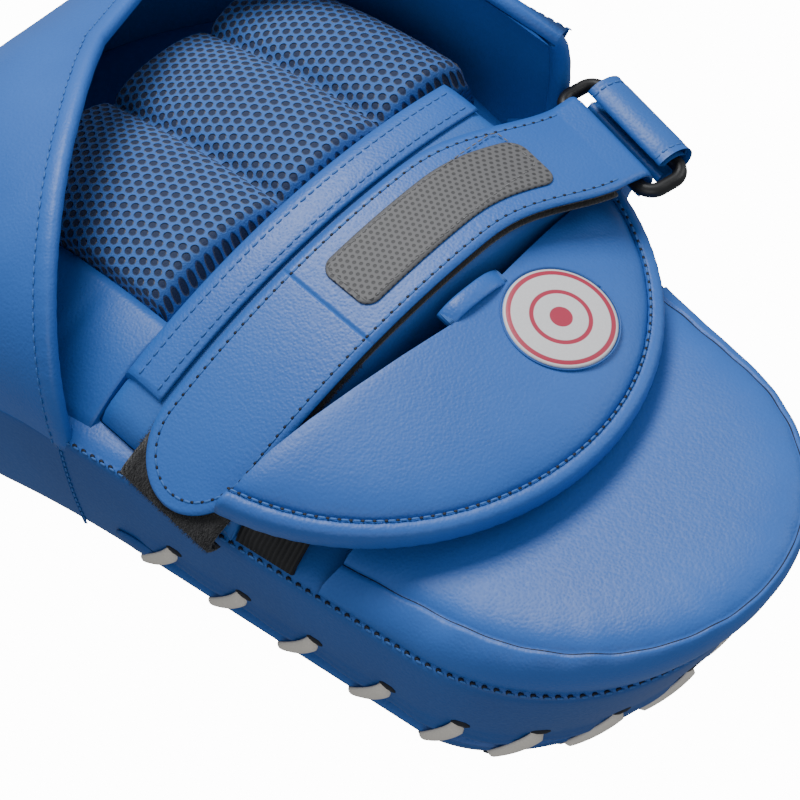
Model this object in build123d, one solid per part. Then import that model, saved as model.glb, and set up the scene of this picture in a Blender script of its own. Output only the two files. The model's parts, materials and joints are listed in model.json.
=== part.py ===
"""A long curved punch pad: laced foam body, hand rest, finger hood, wrist flap and ring strap.

Frame: millimetres, +X across the pad towards the strap's ring, +Y from the wrist end to the
finger end, +Z up out of the hand side. The pad lies on its striking face, so z = 0 is where
its two ends rest, and the origin is at the middle of its length and width.
"""

import os
from math import acos, asin, atan2, cos, degrees, hypot, pi, radians, sin, sqrt, tan

from build123d import *

# ---- driving dimensions of the body -------------------------------------------------
BODY_LENGTH = 344.0
WRIST_RADIUS = 73.0
FINGER_RADIUS = 102.0
BODY_THICKNESS = 48.0
UNDERCUT = 15.0  # how far the wrist end leans back under itself
WRIST_SLOPE = 8.0  # degrees, wrist half above the resting plane
BEND_START = 0.0  # where the striking face starts to bend
BEND_RADIUS = 200.0  # of the striking face
LEATHER = 1.6
TRIM = 1.4  # thinner leather, for straps and the flap
BAND_SEAM = 19.0  # where the side band's two lengths meet

# ---- foam layers, counted up from the striking panel --------------------------------
FIRM_FOAM = 14.0
GEL_SHEET = 5.0
TARGET_DISC_RADIUS = 25.0
TARGET_DISC = 1.0

# ---- laced slit in the side band -----------------------------------------------------
LACE_RADIUS = 1.1
LACE_PITCH = 26.3
LACE_STITCHES = 16
LACE_LEAN = 14.0  # how far a stitch runs along the band
LACE_HOLE_RADIUS = 1.9
LACE_STANDOFF = 0.9  # between the band and the lace that crosses it
LACE_UPPER = 22.0  # height of the two rows of holes
LACE_LOWER = 5.6
SLIT_LOW = 9.5
SLIT_HIGH = 17.0
TONGUE_LAP = 1.6
TONGUE = 1.3
LAYER_GAP = 0.15

# ---- heel wedge ----------------------------------------------------------------------
HEEL_START = -76.0
HEEL_LOW = 7.0
HEEL_HIGH = 21.0
HEEL_INSET = 2.5
HEEL_TOP_INSET = 6.0
HEEL_LEAN = (3.0, -11.0)  # its top reaches out over the wrist end

# ---- wrist cushion, strap seat and strap, in the wrist half's own frame ---------------
SEAT_RADIUS = 195.0
SEAT_MIDDLE = 25.0  # x of the seat's highest line
SEAT_RISE = 40.0  # its height above the back panel
CUSHION_LEFT = -82.0
CUSHION_RIGHT = 67.0
CUSHION_FROM = -44.6
CUSHION_TO = 13.0
EDGING = 16.0
STRAP_WIDTH = 38.0
STRAP_CENTRE = -25.0
STRAP_BEND = 28.0  # from here the strap turns towards the ring
PILE_STRAP = 2.2
STRAP_GAP = 0.4
STRAP_LEATHER = 1.4
HOOK_TAPE = 1.3
STRAP_END = -90.0
STRAP_SPLIT = -22.0
SPLIT_GAP = 0.5
HOOK_FROM = -78.0
HOOK_INSET = 3.0

# ---- ring and its anchor -------------------------------------------------------------
RING_WIRE = 2.3
RING_SPACING = 15.0
RING_LENGTH = 46.0
RING_CORNER = 5.0
RING_AT = (98.5, -41.0)
PIN_GAP = 0.3
SLEEVE = 2.3
SLEEVE_WIDTH = 36.0
TAIL = 2.6
TAIL_CUT = 12.0  # the tail under the sleeve stops short of the flap

# ---- wrist flap ------------------------------------------------------------------------
FLAP_HINGE = -46.4
FLAP_SIZE = (90.0, 92.0)  # half axes of its ellipse
FLAP_CENTRE = -20.0
FLAP_TURN = 6.0  # degrees, towards the thumb side
FLAP_THICKNESS = 10.0
FLAP_MIDDLE = -15.0
FLAP_RISE = 37.0
FLAP_RADIUS = 300.0
FLAP_DROOP = 8.0
FLAP_BINDING = 5.5
BADGE_RADIUS = 17.5
BADGE_AT = (27.0, -73.5)
BADGE = 0.8
LOOP_SIZE = (20.0, 5.0, 2.6)
LOOP_END = 3.5
LOOP_AT = (12.0, -50.6)
LABEL_SIZE = (75.0, 21.0)
LABEL_AT = 22.0
LABEL = 0.9
LABEL_CORNER = 5.0
ELASTIC = 1.4
ELASTIC_WIDTH = 20.0
ELASTIC_REACH = 16.0
ELASTIC_RISE = 17.0

# ---- palm rest and finger hood ---------------------------------------------------------
RIB_EDGES = (-46.0, 4.0, 48.0, 82.0)
RIB_BASE = 20.0
RIB_CROWN = 9.5
RIB_OVERLAP = 7.0
MESH = 2.2
PALM_TO = 106.0
SIDE_PAD_RISE = 18.0
HOOD_WALL = 4.0
HOOD_RISE = 64.0
HOOD_BINDING = 7.0
HOOD_EDGE = (
    (-104.0, 9.0),
    (-93.0, 16.5),
    (-83.0, 24.6),
    (-62.0, 41.8),
    (-33.0, 66.0),
    (-4.0, 90.0),
    (22.0, 108.0),
    (52.0, 106.0),
    (80.0, 82.0),
    (90.0, 44.0),
    (93.0, -17.0),
)
CLEAR = 0.3


# ---- outlines and profiles ---------------------------------------------------------------
WRIST_Y = -BODY_LENGTH / 2 + WRIST_RADIUS - HEEL_LEAN[1] - HEEL_TOP_INSET
FINGER_Y = BODY_LENGTH / 2 - FINGER_RADIUS
TAPER = asin((FINGER_RADIUS - WRIST_RADIUS) / (FINGER_Y - WRIST_Y))
TALL = 400.0


def body_outline(inset=0.0, shift=0.0):
    """The body's plan shape: two circles and the lines that touch both. A shift flattens the
    wrist circle, so that its end draws back."""
    wrist, finger = WRIST_RADIUS - inset, FINGER_RADIUS - inset
    side, drop = cos(TAPER), sin(TAPER)
    low = (wrist * side, WRIST_Y - wrist * drop)
    high = (finger * side, FINGER_Y - finger * drop)
    with BuildSketch() as sketch:
        with BuildLine():
            Line(low, high)
            ThreePointArc(high, (0, FINGER_Y + finger), (-high[0], high[1]))
            Line((-high[0], high[1]), (-low[0], low[1]))
            if shift:
                turns = [TAPER + (pi - 2 * TAPER) * i / 16 for i in range(17)]
                flat = 1 - shift / (wrist * (1 - drop))
                ends = [(-wrist * cos(t), low[1] - (wrist * sin(t) - wrist * drop) * flat) for t in turns]
                Spline(*ends)
            else:
                ThreePointArc((-low[0], low[1]), (0, WRIST_Y - wrist), low)
        make_face()
    return sketch.sketch


def half_width(y, inset=0.0):
    """Half the body's width at y."""
    wrist, finger = WRIST_RADIUS - inset, FINGER_RADIUS - inset
    low = WRIST_Y - wrist * sin(TAPER)
    high = FINGER_Y - finger * sin(TAPER)
    if y < low:
        return sqrt(max(wrist**2 - (y - WRIST_Y) ** 2, 0))
    if y > high:
        return sqrt(max(finger**2 - (y - FINGER_Y) ** 2, 0))
    return wrist * cos(TAPER) + (y - low) * tan(TAPER)


def column(inset=0.0):
    """The body's plan shape as a tall solid, leaning back under itself at the wrist end."""
    low, high = body_outline(inset, UNDERCUT), body_outline(inset)
    foot = Pos(0, 0, -TALL / 2) * extrude(low, TALL / 2)
    wall = loft([low.face(), (Pos(0, 0, BODY_THICKNESS) * high).face()], ruled=True)
    head = Pos(0, 0, BODY_THICKNESS) * extrude(high, TALL / 2)
    return foot + wall + head


START_Z = (-WRIST_Y - UNDERCUT + WRIST_RADIUS + BEND_START) * tan(radians(WRIST_SLOPE))
BEND_CENTRE = (
    BEND_START + BEND_RADIUS * sin(radians(WRIST_SLOPE)),
    START_Z - BEND_RADIUS * cos(radians(WRIST_SLOPE)),
)
# the finger half slopes so that its end comes down to the resting plane too
FAR_END = (BODY_LENGTH / 2 - BEND_CENTRE[0], -BEND_CENTRE[1])
FINGER_SLOPE = degrees(atan2(*FAR_END) - acos(BEND_RADIUS / hypot(*FAR_END)))


def on_bend(angle, height):
    """A point of the bend, angle degrees past upright, at a height above the striking face."""
    r = BEND_RADIUS + height
    return (
        BEND_CENTRE[0] + r * sin(radians(angle)),
        BEND_CENTRE[1] + r * cos(radians(angle)),
    )


def slab(low, high):
    """The layer between two heights above the striking face, as wide as TALL."""
    reach = BODY_LENGTH

    def path(height):
        first, last = on_bend(-WRIST_SLOPE, height), on_bend(FINGER_SLOPE, height)
        start = (
            first[0] - reach * cos(radians(WRIST_SLOPE)),
            first[1] - reach * sin(radians(WRIST_SLOPE)),
        )
        end = (
            last[0] + reach * cos(radians(FINGER_SLOPE)),
            last[1] - reach * sin(radians(FINGER_SLOPE)),
        )
        return start, first, on_bend((FINGER_SLOPE - WRIST_SLOPE) / 2, height), last, end

    a, b = path(low), path(high)
    with BuildSketch(Plane.YZ) as sketch:
        with BuildLine():
            Line(a[0], a[1])
            ThreePointArc(a[1], a[2], a[3])
            Line(a[3], a[4])
            Line(a[4], b[4])
            Line(b[4], b[3])
            ThreePointArc(b[3], b[2], b[1])
            Line(b[1], b[0])
            Line(b[0], a[0])
        make_face()
    return extrude(sketch.sketch, TALL / 2, both=True)


def back_z(y, height=BODY_THICKNESS):
    """Height of the body's back, or of a layer, over the point y."""
    first, last = on_bend(-WRIST_SLOPE, height), on_bend(FINGER_SLOPE, height)
    if y < first[0]:
        return first[1] - (first[0] - y) * tan(radians(WRIST_SLOPE))
    if y > last[0]:
        return last[1] - (y - last[0]) * tan(radians(FINGER_SLOPE))
    return BEND_CENTRE[1] + sqrt((BEND_RADIUS + height) ** 2 - (y - BEND_CENTRE[0]) ** 2)


# The wrist half's own frame: x across, y along the slope, z up from the back panel.
SLOPE_TOP = on_bend(-WRIST_SLOPE, BODY_THICKNESS)
WRIST_RISE = SLOPE_TOP[1] - SLOPE_TOP[0] * tan(radians(WRIST_SLOPE))
WRIST = Pos(0, 0, WRIST_RISE) * Rot(WRIST_SLOPE, 0, 0)


def block(x0, x1, y0, y1, z0, z1):
    """A box from its corners."""
    middle = Pos((x0 + x1) / 2, (y0 + y1) / 2, (z0 + z1) / 2)
    return middle * Box(x1 - x0, y1 - y0, z1 - z0)


def polygon_bar(points, y0, y1):
    """A polygon of (x, z) points, drawn out from y0 to y1."""
    face = make_face(Polyline(*points, close=True).edges())
    upright = Pos(0, y1, 0) * Rot(90, 0, 0) * face
    return extrude(upright, amount=y1 - y0, dir=(0, -1, 0))


def arc_bar(radius, middle, top, low, high, y0, y1):
    """An arched layer along y: the part of a tube between two offsets from a crest line."""
    axis = Pos(middle, (y0 + y1) / 2, top - radius) * Rot(90, 0, 0)
    outer = Cylinder(radius + high, y1 - y0)
    return axis * (outer - Cylinder(radius + low, y1 - y0))


def seat_layer(low, high, x0, x1, y0, y1):
    """A layer that follows the strap's seat, from x0 to x1."""
    bar = arc_bar(SEAT_RADIUS, SEAT_MIDDLE, SEAT_RISE, low, high, y0, y1)
    return bar & block(x0, x1, y0, y1, 0, SEAT_RISE + high + 1)


def seat_z(x, offset=0.0):
    """Height of the strap's seat, or of a layer on it, over x."""
    return SEAT_RISE - SEAT_RADIUS + sqrt((SEAT_RADIUS + offset) ** 2 - (x - SEAT_MIDDLE) ** 2)


# ---- the laced body ------------------------------------------------------------------------
PANEL_TOP = BODY_THICKNESS - LEATHER
FOAM_INSET = LEATHER + TONGUE + 8 * LAYER_GAP + 2 * LACE_RADIUS


def band_point(along, offset, height):
    """A point of the side band, measured along it from the middle of the wrist end."""
    r = WRIST_RADIUS + offset
    half = WRIST_RADIUS * (pi / 2 - TAPER)
    turn = max(-half, min(half, along)) / WRIST_RADIUS
    past = max(abs(along) - half, 0)
    x = r * sin(turn) + (1 if along > 0 else -1) * past * sin(TAPER)
    drop = r * (cos(turn) - sin(TAPER))
    flat = 1.0
    for _ in range(6):
        y = WRIST_Y - r * sin(TAPER) - drop * flat + past * cos(TAPER)
        # heights are square to the striking face, which slopes, so they move y as well
        z = back_z(y, 0) + height / cos(radians(WRIST_SLOPE))
        shift = UNDERCUT * max(0.0, min(1.0, 1 - z / BODY_THICKNESS))
        flat = 1 - shift / (r * (1 - sin(TAPER)))
    return (x, y, z)


def lace_points():
    """The lace's route: out of an upper hole, down to a lower one, and on behind the band."""
    out, inside = LACE_STANDOFF + LACE_RADIUS, FOAM_INSET - LACE_RADIUS - 4 * LAYER_GAP
    start = -(LACE_STITCHES - 1) * LACE_PITCH / 2
    points = []
    for i in reversed(range(LACE_STITCHES)):
        up = start + i * LACE_PITCH + LACE_LEAN / 2
        down = up - LACE_LEAN
        points.append(band_point(up, -inside, LACE_UPPER))
        points.append(band_point(up, out, LACE_UPPER))
        points.append(band_point(down, out, LACE_LOWER))
        points.append(band_point(down, -inside, LACE_LOWER))
    return points


def lace():
    """The cotton lace as one run of round cord."""
    points = lace_points()
    path = FilletPolyline(*points, radius=LACE_RADIUS * 1.15)
    start = Plane(origin=points[0], z_dir=Vector(*points[1]) - Vector(*points[0]))
    return sweep(start * Circle(LACE_RADIUS), path=path)


def lace_holes():
    """Round drills through the side band at every lace hole."""
    points = lace_points()
    drills = []
    for first, second in zip(points[0::2], points[1::2]):
        a, b = Vector(*first), Vector(*second)
        way = Plane(origin=(a + b) / 2, z_dir=b - a)
        drills.append(way * Cylinder(LACE_HOLE_RADIUS, (b - a).length + 2 * LACE_RADIUS))
    return drills


def slit_reach():
    return (LACE_STITCHES - 1) * LACE_PITCH / 2 + LACE_LEAN


def slit_zone():
    """The part of the side band that the lacing spans, in plan."""
    end = band_point(slit_reach(), 0, 0)
    return block(-TALL / 2, TALL / 2, -TALL, end[1], -TALL / 2, TALL / 2)


def side_band():
    """The upright leather band, open along the slit and drilled for the lace."""
    shell = column() - column(LEATHER)
    band = (shell & slab(LEATHER, PANEL_TOP)) - (slab(SLIT_LOW, SLIT_HIGH) & slit_zone())
    for drill in lace_holes():
        band -= drill
    return band


def split_band(band):
    """The side band in its two sewn lengths, round the wrist and round the fingers."""
    seam = block(-TALL / 2, TALL / 2, BAND_SEAM, TALL, -TALL / 2, TALL / 2)
    return band - seam, band & seam


def tongue():
    """The leather strip behind the slit."""
    outside = LEATHER + LAYER_GAP
    strip = column(outside) - column(outside + TONGUE)
    return strip & slab(SLIT_LOW - TONGUE_LAP, SLIT_HIGH + TONGUE_LAP) & slit_zone()


def body_nodes():
    foam = column(FOAM_INSET)
    firm_top = LEATHER + FIRM_FOAM
    gel_top = firm_top + GEL_SHEET
    wrist_band, finger_band = split_band(side_band())
    disc = Pos(0, on_bend(0, 0)[0], 0) * Cylinder(TARGET_DISC_RADIUS, TALL)
    return {
        "striking_panel": column() & slab(0, LEATHER),
        "target_disc": slab(-TARGET_DISC, 0) & disc,
        "firm_foam": foam & slab(LEATHER, firm_top),
        "gel_sheet": foam & slab(firm_top, gel_top),
        "core_foam": foam & slab(gel_top, PANEL_TOP),
        "back_panel": column() & slab(PANEL_TOP, BODY_THICKNESS),
        "side_band_wrist": wrist_band,
        "side_band_finger": finger_band,
        "lace_tongue": tongue(),
        "side_lace": lace(),
    }


# ---- the heel wedge ---------------------------------------------------------------------------
def heel_wedge(inset, lower=0.0, base=0.0):
    """The wedge under the wrist end, inset all round and lowered from its top."""
    end = -BODY_LENGTH
    rise = (HEEL_HIGH - HEEL_LOW) / (HEEL_START + BODY_LENGTH / 2)
    top = HEEL_LOW - lower + rise * (HEEL_START - end)
    side = Polyline(
        (HEEL_START + inset, base),
        (HEEL_START + inset, HEEL_LOW - lower - rise * inset),
        (end, top),
        (end, base),
        close=True,
    )
    face = Plane.YZ * make_face(side.edges())
    wedge = WRIST * extrude(face, TALL / 2, both=True)
    foot = Pos(0, 0, BODY_THICKNESS - HEEL_HIGH) * body_outline(HEEL_INSET + inset)
    low = Pos(0, 0, BODY_THICKNESS) * body_outline(HEEL_INSET + inset)
    lean = Pos(HEEL_LEAN[0], HEEL_LEAN[1], BODY_THICKNESS + HEEL_HIGH)
    high = lean * body_outline(HEEL_TOP_INSET + inset)
    sides = loft([foot.face(), low.face()], ruled=True) + loft([low.face(), high.face()], ruled=True)
    return wedge & sides


def heel_nodes():
    whole = heel_wedge(0)
    under = heel_wedge(LEATHER, LEATHER)
    below_top = heel_wedge(0, LEATHER)
    return {
        "heel_foam": under,
        "heel_panel": whole - below_top,
        "heel_side_band": below_top - under,
    }


# ---- wrist cushion ------------------------------------------------------------------------------
def cushion(inset, base):
    """The arched cushion under the strap, with a sloping shoulder below the ring."""
    top = arc_bar(
        SEAT_RADIUS, SEAT_MIDDLE, SEAT_RISE, -SEAT_RISE * 2, -inset, CUSHION_FROM + inset, CUSHION_TO - inset
    )
    return top & block(
        CUSHION_LEFT + inset, CUSHION_RIGHT - inset, CUSHION_FROM + inset, CUSHION_TO - inset, base, TALL
    )


def cushion_nodes():
    skin, filling = cushion(0, 0), cushion(LEATHER, 0)
    edging = seat_layer(0, TRIM, CUSHION_LEFT + EDGING, CUSHION_RIGHT, CUSHION_TO - EDGING, CUSHION_TO)
    return {
        "wrist_cushion_cover": WRIST * (skin - filling),
        "wrist_cushion_foam": WRIST * filling,
        "palm_edge_binding": WRIST * edging,
    }


# ---- strap, ring and anchor -----------------------------------------------------------------------
STRAP_LOW = STRAP_CENTRE - STRAP_WIDTH / 2
STRAP_HIGH = STRAP_CENTRE + STRAP_WIDTH / 2
PILE_TOP = STRAP_GAP + PILE_STRAP
TAB_LOW = PILE_TOP + CLEAR
LEATHER_LOW = TAB_LOW + HOOK_TAPE
TAB_TOP = LEATHER_LOW + STRAP_LEATHER
FOLD_IN = RING_WIRE + CLEAR
FOLD_OUT = FOLD_IN + HOOK_TAPE + STRAP_LEATHER
SPREAD = STRAP_WIDTH / 2


def by_ring(x, y):
    """A plan point given in the ring's own frame: x out from the tube's axis, y along it."""
    c, s = cos(TAPER), sin(TAPER)
    return (RING_AT[0] + x * c + y * s, RING_AT[1] - x * s + y * c)


TAB_START = by_ring(-RING_SPACING - FOLD_OUT, 0)[0]
BAR_RISE = seat_z(TAB_START, TAB_LOW) - FOLD_IN
RING_FRAME = Pos(RING_AT[0], RING_AT[1], BAR_RISE) * Rot(0, 0, -degrees(TAPER))


def strap_plan(left, end):
    """The strap's plan shape from its left end to a line beside the ring, as a tall solid."""
    low, high = by_ring(end, -SPREAD), by_ring(end, SPREAD)
    outline = Polyline(
        (left, STRAP_LOW),
        (STRAP_BEND, STRAP_LOW),
        low,
        high,
        (STRAP_BEND, STRAP_HIGH),
        (left, STRAP_HIGH),
        close=True,
    )
    return extrude(make_face(outline.edges()), TALL)


def lower_run():
    """The pile-faced strap from its sewn end, over the cushion, to just short of the ring."""
    arch = seat_layer(STRAP_GAP, PILE_TOP, CUSHION_LEFT, RING_AT[0], -TALL / 4, TALL / 4)
    arch = arch & strap_plan(CUSHION_LEFT, -RING_SPACING - 3 * FOLD_IN)
    edge = -half_width(STRAP_CENTRE) + LEATHER
    top = seat_z(CUSHION_LEFT, PILE_TOP)
    end = polygon_bar(
        [
            (CUSHION_LEFT - STRAP_GAP, 0),
            (CUSHION_LEFT - STRAP_GAP, seat_z(CUSHION_LEFT, STRAP_GAP)),
            (CUSHION_LEFT, seat_z(CUSHION_LEFT, STRAP_GAP)),
            (CUSHION_LEFT, top),
            (edge, top - PILE_STRAP),
            (edge, 0),
        ],
        STRAP_LOW,
        STRAP_HIGH,
    )
    return WRIST * (arch + end)


def tip_outline():
    """The strap's round end, in plan."""
    centre = STRAP_END + SPREAD
    end = Pos(centre, STRAP_CENTRE, 0) * Cylinder(SPREAD, TALL)
    return end + block(centre, STRAP_SPLIT - SPLIT_GAP, STRAP_LOW, STRAP_HIGH, -TALL / 2, TALL / 2)


def fold():
    """The strap's turn round the ring's inner bar, from over it to under it."""
    start = -RING_SPACING - FOLD_OUT
    axis = Pos(-RING_SPACING, 0, 0) * Rot(90, 0, 0)
    turn = axis * (Cylinder(FOLD_OUT, STRAP_WIDTH) - Cylinder(FOLD_IN, STRAP_WIDTH))
    right = block(-RING_SPACING, TALL, -SPREAD, SPREAD, -TALL / 2, TALL)
    over = polygon_bar(
        [
            (start - 1, FOLD_IN),
            (start - 1, FOLD_OUT),
            (-RING_SPACING, FOLD_OUT),
            (-RING_SPACING, FOLD_IN),
        ],
        -SPREAD,
        SPREAD,
    )
    return RING_FRAME * ((turn & right) + over)


def strap_nodes():
    wide = (-TALL / 4, TALL / 4)
    leather = seat_layer(LEATHER_LOW, TAB_TOP, STRAP_END - 1, RING_AT[0], *wide)
    pile = seat_layer(TAB_LOW, LEATHER_LOW, STRAP_SPLIT, RING_AT[0], *wide)
    hook = seat_layer(
        TAB_LOW,
        LEATHER_LOW,
        HOOK_FROM,
        STRAP_SPLIT - SPLIT_GAP - HOOK_INSET,
        STRAP_LOW + HOOK_INSET,
        STRAP_HIGH - HOOK_INSET,
    )
    plan = strap_plan(STRAP_SPLIT, -RING_SPACING - FOLD_OUT)
    patch = Pos(LABEL_AT, STRAP_CENTRE, 0) * extrude(
        RectangleRounded(LABEL_SIZE[0], LABEL_SIZE[1], LABEL_CORNER), TALL
    )
    label = seat_layer(TAB_TOP, TAB_TOP + LABEL, STRAP_SPLIT, RING_AT[0], *wide)
    turn = fold()
    return {
        "strap_lower_run": lower_run(),
        "strap_tip": WRIST * (leather & tip_outline()),
        "hook_patch": WRIST * (hook & tip_outline()),
        "strap_base": WRIST * ((leather & plan) + turn),
        "strap_base_pile": WRIST * ((pile & plan) - turn),
        "strap_label": WRIST * (label & patch),
    }


def ring_path():
    """The ring's centre line: a rectangle with round corners, about its two long bars."""
    x0, x1, y1, r = -RING_SPACING, 0.0, RING_LENGTH / 2, RING_CORNER
    q = r * (1 - sqrt(0.5))
    with BuildLine() as line:
        Line((x1, -y1 + r), (x1, y1 - r))
        ThreePointArc((x1, y1 - r), (x1 - q, y1 - q), (x1 - r, y1))
        Line((x1 - r, y1), (x0 + r, y1))
        ThreePointArc((x0 + r, y1), (x0 + q, y1 - q), (x0, y1 - r))
        Line((x0, y1 - r), (x0, -y1 + r))
        ThreePointArc((x0, -y1 + r), (x0 + q, -y1 + q), (x0 + r, -y1))
        Line((x0 + r, -y1), (x1 - r, -y1))
        ThreePointArc((x1 - r, -y1), (x1 - q, -y1 + q), (x1, -y1 + r))
    return line.line


def ring_nodes():
    start = Plane(origin=(0, RING_CORNER - RING_LENGTH / 2, 0), z_dir=(0, 1, 0))
    ring = sweep(start * Circle(RING_WIRE), path=ring_path())
    bore = RING_WIRE + PIN_GAP
    axis = Rot(90, 0, 0)
    outer = bore + SLEEVE
    foot_x = half_width(RING_AT[1]) - LEATHER - RING_AT[0]
    foot = polygon_bar(
        [
            (foot_x, -BAR_RISE),
            (foot_x - TAIL, -BAR_RISE),
            (0, 0),
            (outer, 0),
            (outer - TAIL / 2, -outer),
        ],
        TAIL_CUT - SLEEVE_WIDTH / 2,
        SLEEVE_WIDTH / 2,
    )
    sleeve = (axis * Cylinder(outer, SLEEVE_WIDTH) + foot) - axis * Cylinder(bore, SLEEVE_WIDTH)
    return {
        "strap_ring": WRIST * RING_FRAME * ring,
        "ring_anchor": WRIST * ((RING_FRAME * sleeve) & block(0, TALL / 4, -TALL, TALL, 0, TALL)),
    }


# ---- wrist flap --------------------------------------------------------------------------------------
def flap_outline(inset=0.0):
    """Half-moon plan shape: an ellipse, a little turned, cut off along the hinge."""
    with BuildSketch() as sketch:
        with Locations(Location((0, FLAP_CENTRE), FLAP_TURN)):
            Ellipse(FLAP_SIZE[0] - inset, FLAP_SIZE[1] - inset)
        with Locations((0, FLAP_HINGE + TALL / 2)):
            Rectangle(TALL, TALL, mode=Mode.SUBTRACT)
    return Pos(0, 0, -TALL / 2) * extrude(sketch.sketch, TALL)


def flap_layer(low, high):
    """An arched layer that droops towards the flap's free edge; offsets are from its top."""
    reach = 2 * FLAP_SIZE[1]
    bar = arc_bar(FLAP_RADIUS, FLAP_MIDDLE, FLAP_RISE, low, high, FLAP_HINGE - reach, FLAP_HINGE)
    upper = bar & block(-TALL / 2, TALL / 2, FLAP_HINGE - reach, FLAP_HINGE, -FLAP_THICKNESS, TALL)
    hinge = Pos(0, FLAP_HINGE, FLAP_RISE)
    return hinge * Rot(FLAP_DROOP, 0, 0) * hinge.inverse() * upper


def flap_nodes():
    inner = flap_outline(FLAP_BINDING)
    whole = flap_outline()
    badge = Pos(BADGE_AT[0], BADGE_AT[1], 0) * Cylinder(BADGE_RADIUS, TALL)
    loop = block(
        LOOP_AT[0] - LOOP_SIZE[0] / 2,
        LOOP_AT[0] + LOOP_SIZE[0] / 2,
        LOOP_AT[1] - LOOP_SIZE[1] / 2,
        LOOP_AT[1] + LOOP_SIZE[1] / 2,
        0,
        TALL,
    )
    end = LOOP_SIZE[0] / 2 - LOOP_END
    gap = block(LOOP_AT[0] - end, LOOP_AT[0] + end, FLAP_HINGE - TALL, FLAP_HINGE, 0, TALL)
    loop_gap = flap_layer(0, LOOP_SIZE[2] - TRIM) & gap
    return {
        "flap_cover": WRIST * (flap_layer(-TRIM, 0) & inner),
        "flap_foam": WRIST * (flap_layer(TRIM - FLAP_THICKNESS, -TRIM) & inner),
        "flap_underside": WRIST * (flap_layer(-FLAP_THICKNESS, TRIM - FLAP_THICKNESS) & inner),
        "flap_binding": WRIST * (flap_layer(-FLAP_THICKNESS, 0) & (whole - inner)),
        "flap_badge": WRIST * (flap_layer(0, BADGE) & badge),
        "hang_loop": WRIST * ((flap_layer(0, LOOP_SIZE[2]) & loop) - loop_gap),
    }


def elastic():
    """The elastic webbing from the body seam up to the flap's underside."""
    y1 = CUSHION_FROM - CLEAR
    y0 = y1 - ELASTIC_WIDTH
    edge = -half_width(y0) + LEATHER
    return WRIST * polygon_bar(
        [
            (edge, 0),
            (edge, ELASTIC),
            (edge + ELASTIC_REACH, ELASTIC_RISE),
            (edge + ELASTIC_REACH, ELASTIC_RISE - 2 * ELASTIC),
            (edge + 2 * ELASTIC, 0),
        ],
        y0,
        y1,
    )


# ---- palm rest ------------------------------------------------------------------------------------------
def back_path(y0, y1):
    """A line along the back panel from y0 to y1, through the bend."""
    first, last = on_bend(-WRIST_SLOPE, BODY_THICKNESS), on_bend(FINGER_SLOPE, BODY_THICKNESS)
    crest = on_bend((FINGER_SLOPE - WRIST_SLOPE) / 2, BODY_THICKNESS)
    with BuildLine(Plane.YZ) as line:
        if y0 < first[0]:
            Line((y0, back_z(y0)), first)
            ThreePointArc(first, crest, last)
        else:
            middle = (y0 + last[0]) / 2
            ThreePointArc((y0, back_z(y0)), (middle, back_z(middle)), last)
        Line(last, (y1, back_z(y1)))
    return line.line


def along_back(section, y0, y1):
    """A section in x and height, swept along the back panel."""
    path = back_path(y0, y1)
    start = path @ 0
    way = path % 0
    plane = Plane(origin=start, x_dir=(-1, 0, 0), z_dir=way)
    return sweep(plane * section, path=path)


def rib_section(inset):
    """Half-round crowns on one base that stands on the back panel."""
    first, last = RIB_EDGES[0] - RIB_OVERLAP / 2, RIB_EDGES[-1] + RIB_OVERLAP / 2
    with BuildSketch() as sketch:
        with Locations((-(first + last) / 2, RIB_BASE / 2)):
            Rectangle(last - first - 2 * inset, RIB_BASE)
        for left, right in zip(RIB_EDGES, RIB_EDGES[1:]):
            with Locations((-(left + right) / 2, RIB_BASE)):
                Ellipse((right - left + RIB_OVERLAP) / 2 - inset, RIB_CROWN - inset)
    return sketch.sketch


def side_pad_section():
    """The leather slope from the ribs down to the body's little-finger edge."""
    left = RIB_EDGES[0] - RIB_OVERLAP / 2 - CLEAR
    edge = -half_width(CUSHION_TO) + 2 * HOOD_WALL
    return make_face(Polyline((-left, 0), (-left, SIDE_PAD_RISE), (-edge, TRIM), (-edge, 0), close=True).edges())


def palm_nodes():
    start = CUSHION_TO + CLEAR + 4
    ribs, filling = along_back(rib_section(0), start, PALM_TO), along_back(rib_section(MESH), start, PALM_TO)
    return {
        "palm_foam": filling,
        "palm_mesh": ribs - filling,
        "palm_side_pad": along_back(side_pad_section(), start, PALM_TO),
    }


# ---- finger hood -------------------------------------------------------------------------------------------
# Stations along the hood: y, and the share of its full rise there.
HOOD_STATIONS = ((-17.0, 0.82), (15.0, 0.97), (75.0, 1.0), (118.0, 0.9), (152.0, 0.6), (176.0, 0.3))
HOOD_SINK = 3 * LEATHER
HOOD_BULGE = 12.5  # how far the thumb side leans out over the side band
HOOD_MOST = FINGER_RADIUS - 0.4
HOOD_SOFT, HOOD_SQUARE = 2.3, 5.0  # superellipse powers of the little-finger and thumb sides


def hood_section(y, share, inset):
    """The hood's arch at one station, standing a little below the back panel."""
    sink = HOOD_SINK + inset
    width = half_width(min(y, FINGER_Y)) - inset
    lean = min(HOOD_BULGE, HOOD_MOST - inset - width)
    rise = HOOD_RISE * share - inset + sink
    points = []
    for i in range(13):
        turn = radians(15 * i)
        across, up = cos(turn), sin(turn)
        z = up ** (2 / (HOOD_SQUARE if across > 0 else HOOD_SOFT))
        if across > 0:
            x = (width + lean * z * (2 - z)) * across ** (2 / HOOD_SQUARE)
        else:
            x = -width * abs(across) ** (2 / HOOD_SOFT)
        points.append((-x, z * rise))
    upright = Plane(origin=(0, y, back_z(y) - sink), x_dir=(-1, 0, 0), z_dir=(0, 1, 0))
    with BuildSketch(upright) as sketch:
        with BuildLine():
            Spline(*points)
            Line(points[-1], points[0])
        make_face()
    return sketch.sketch.faces()[0]


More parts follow.
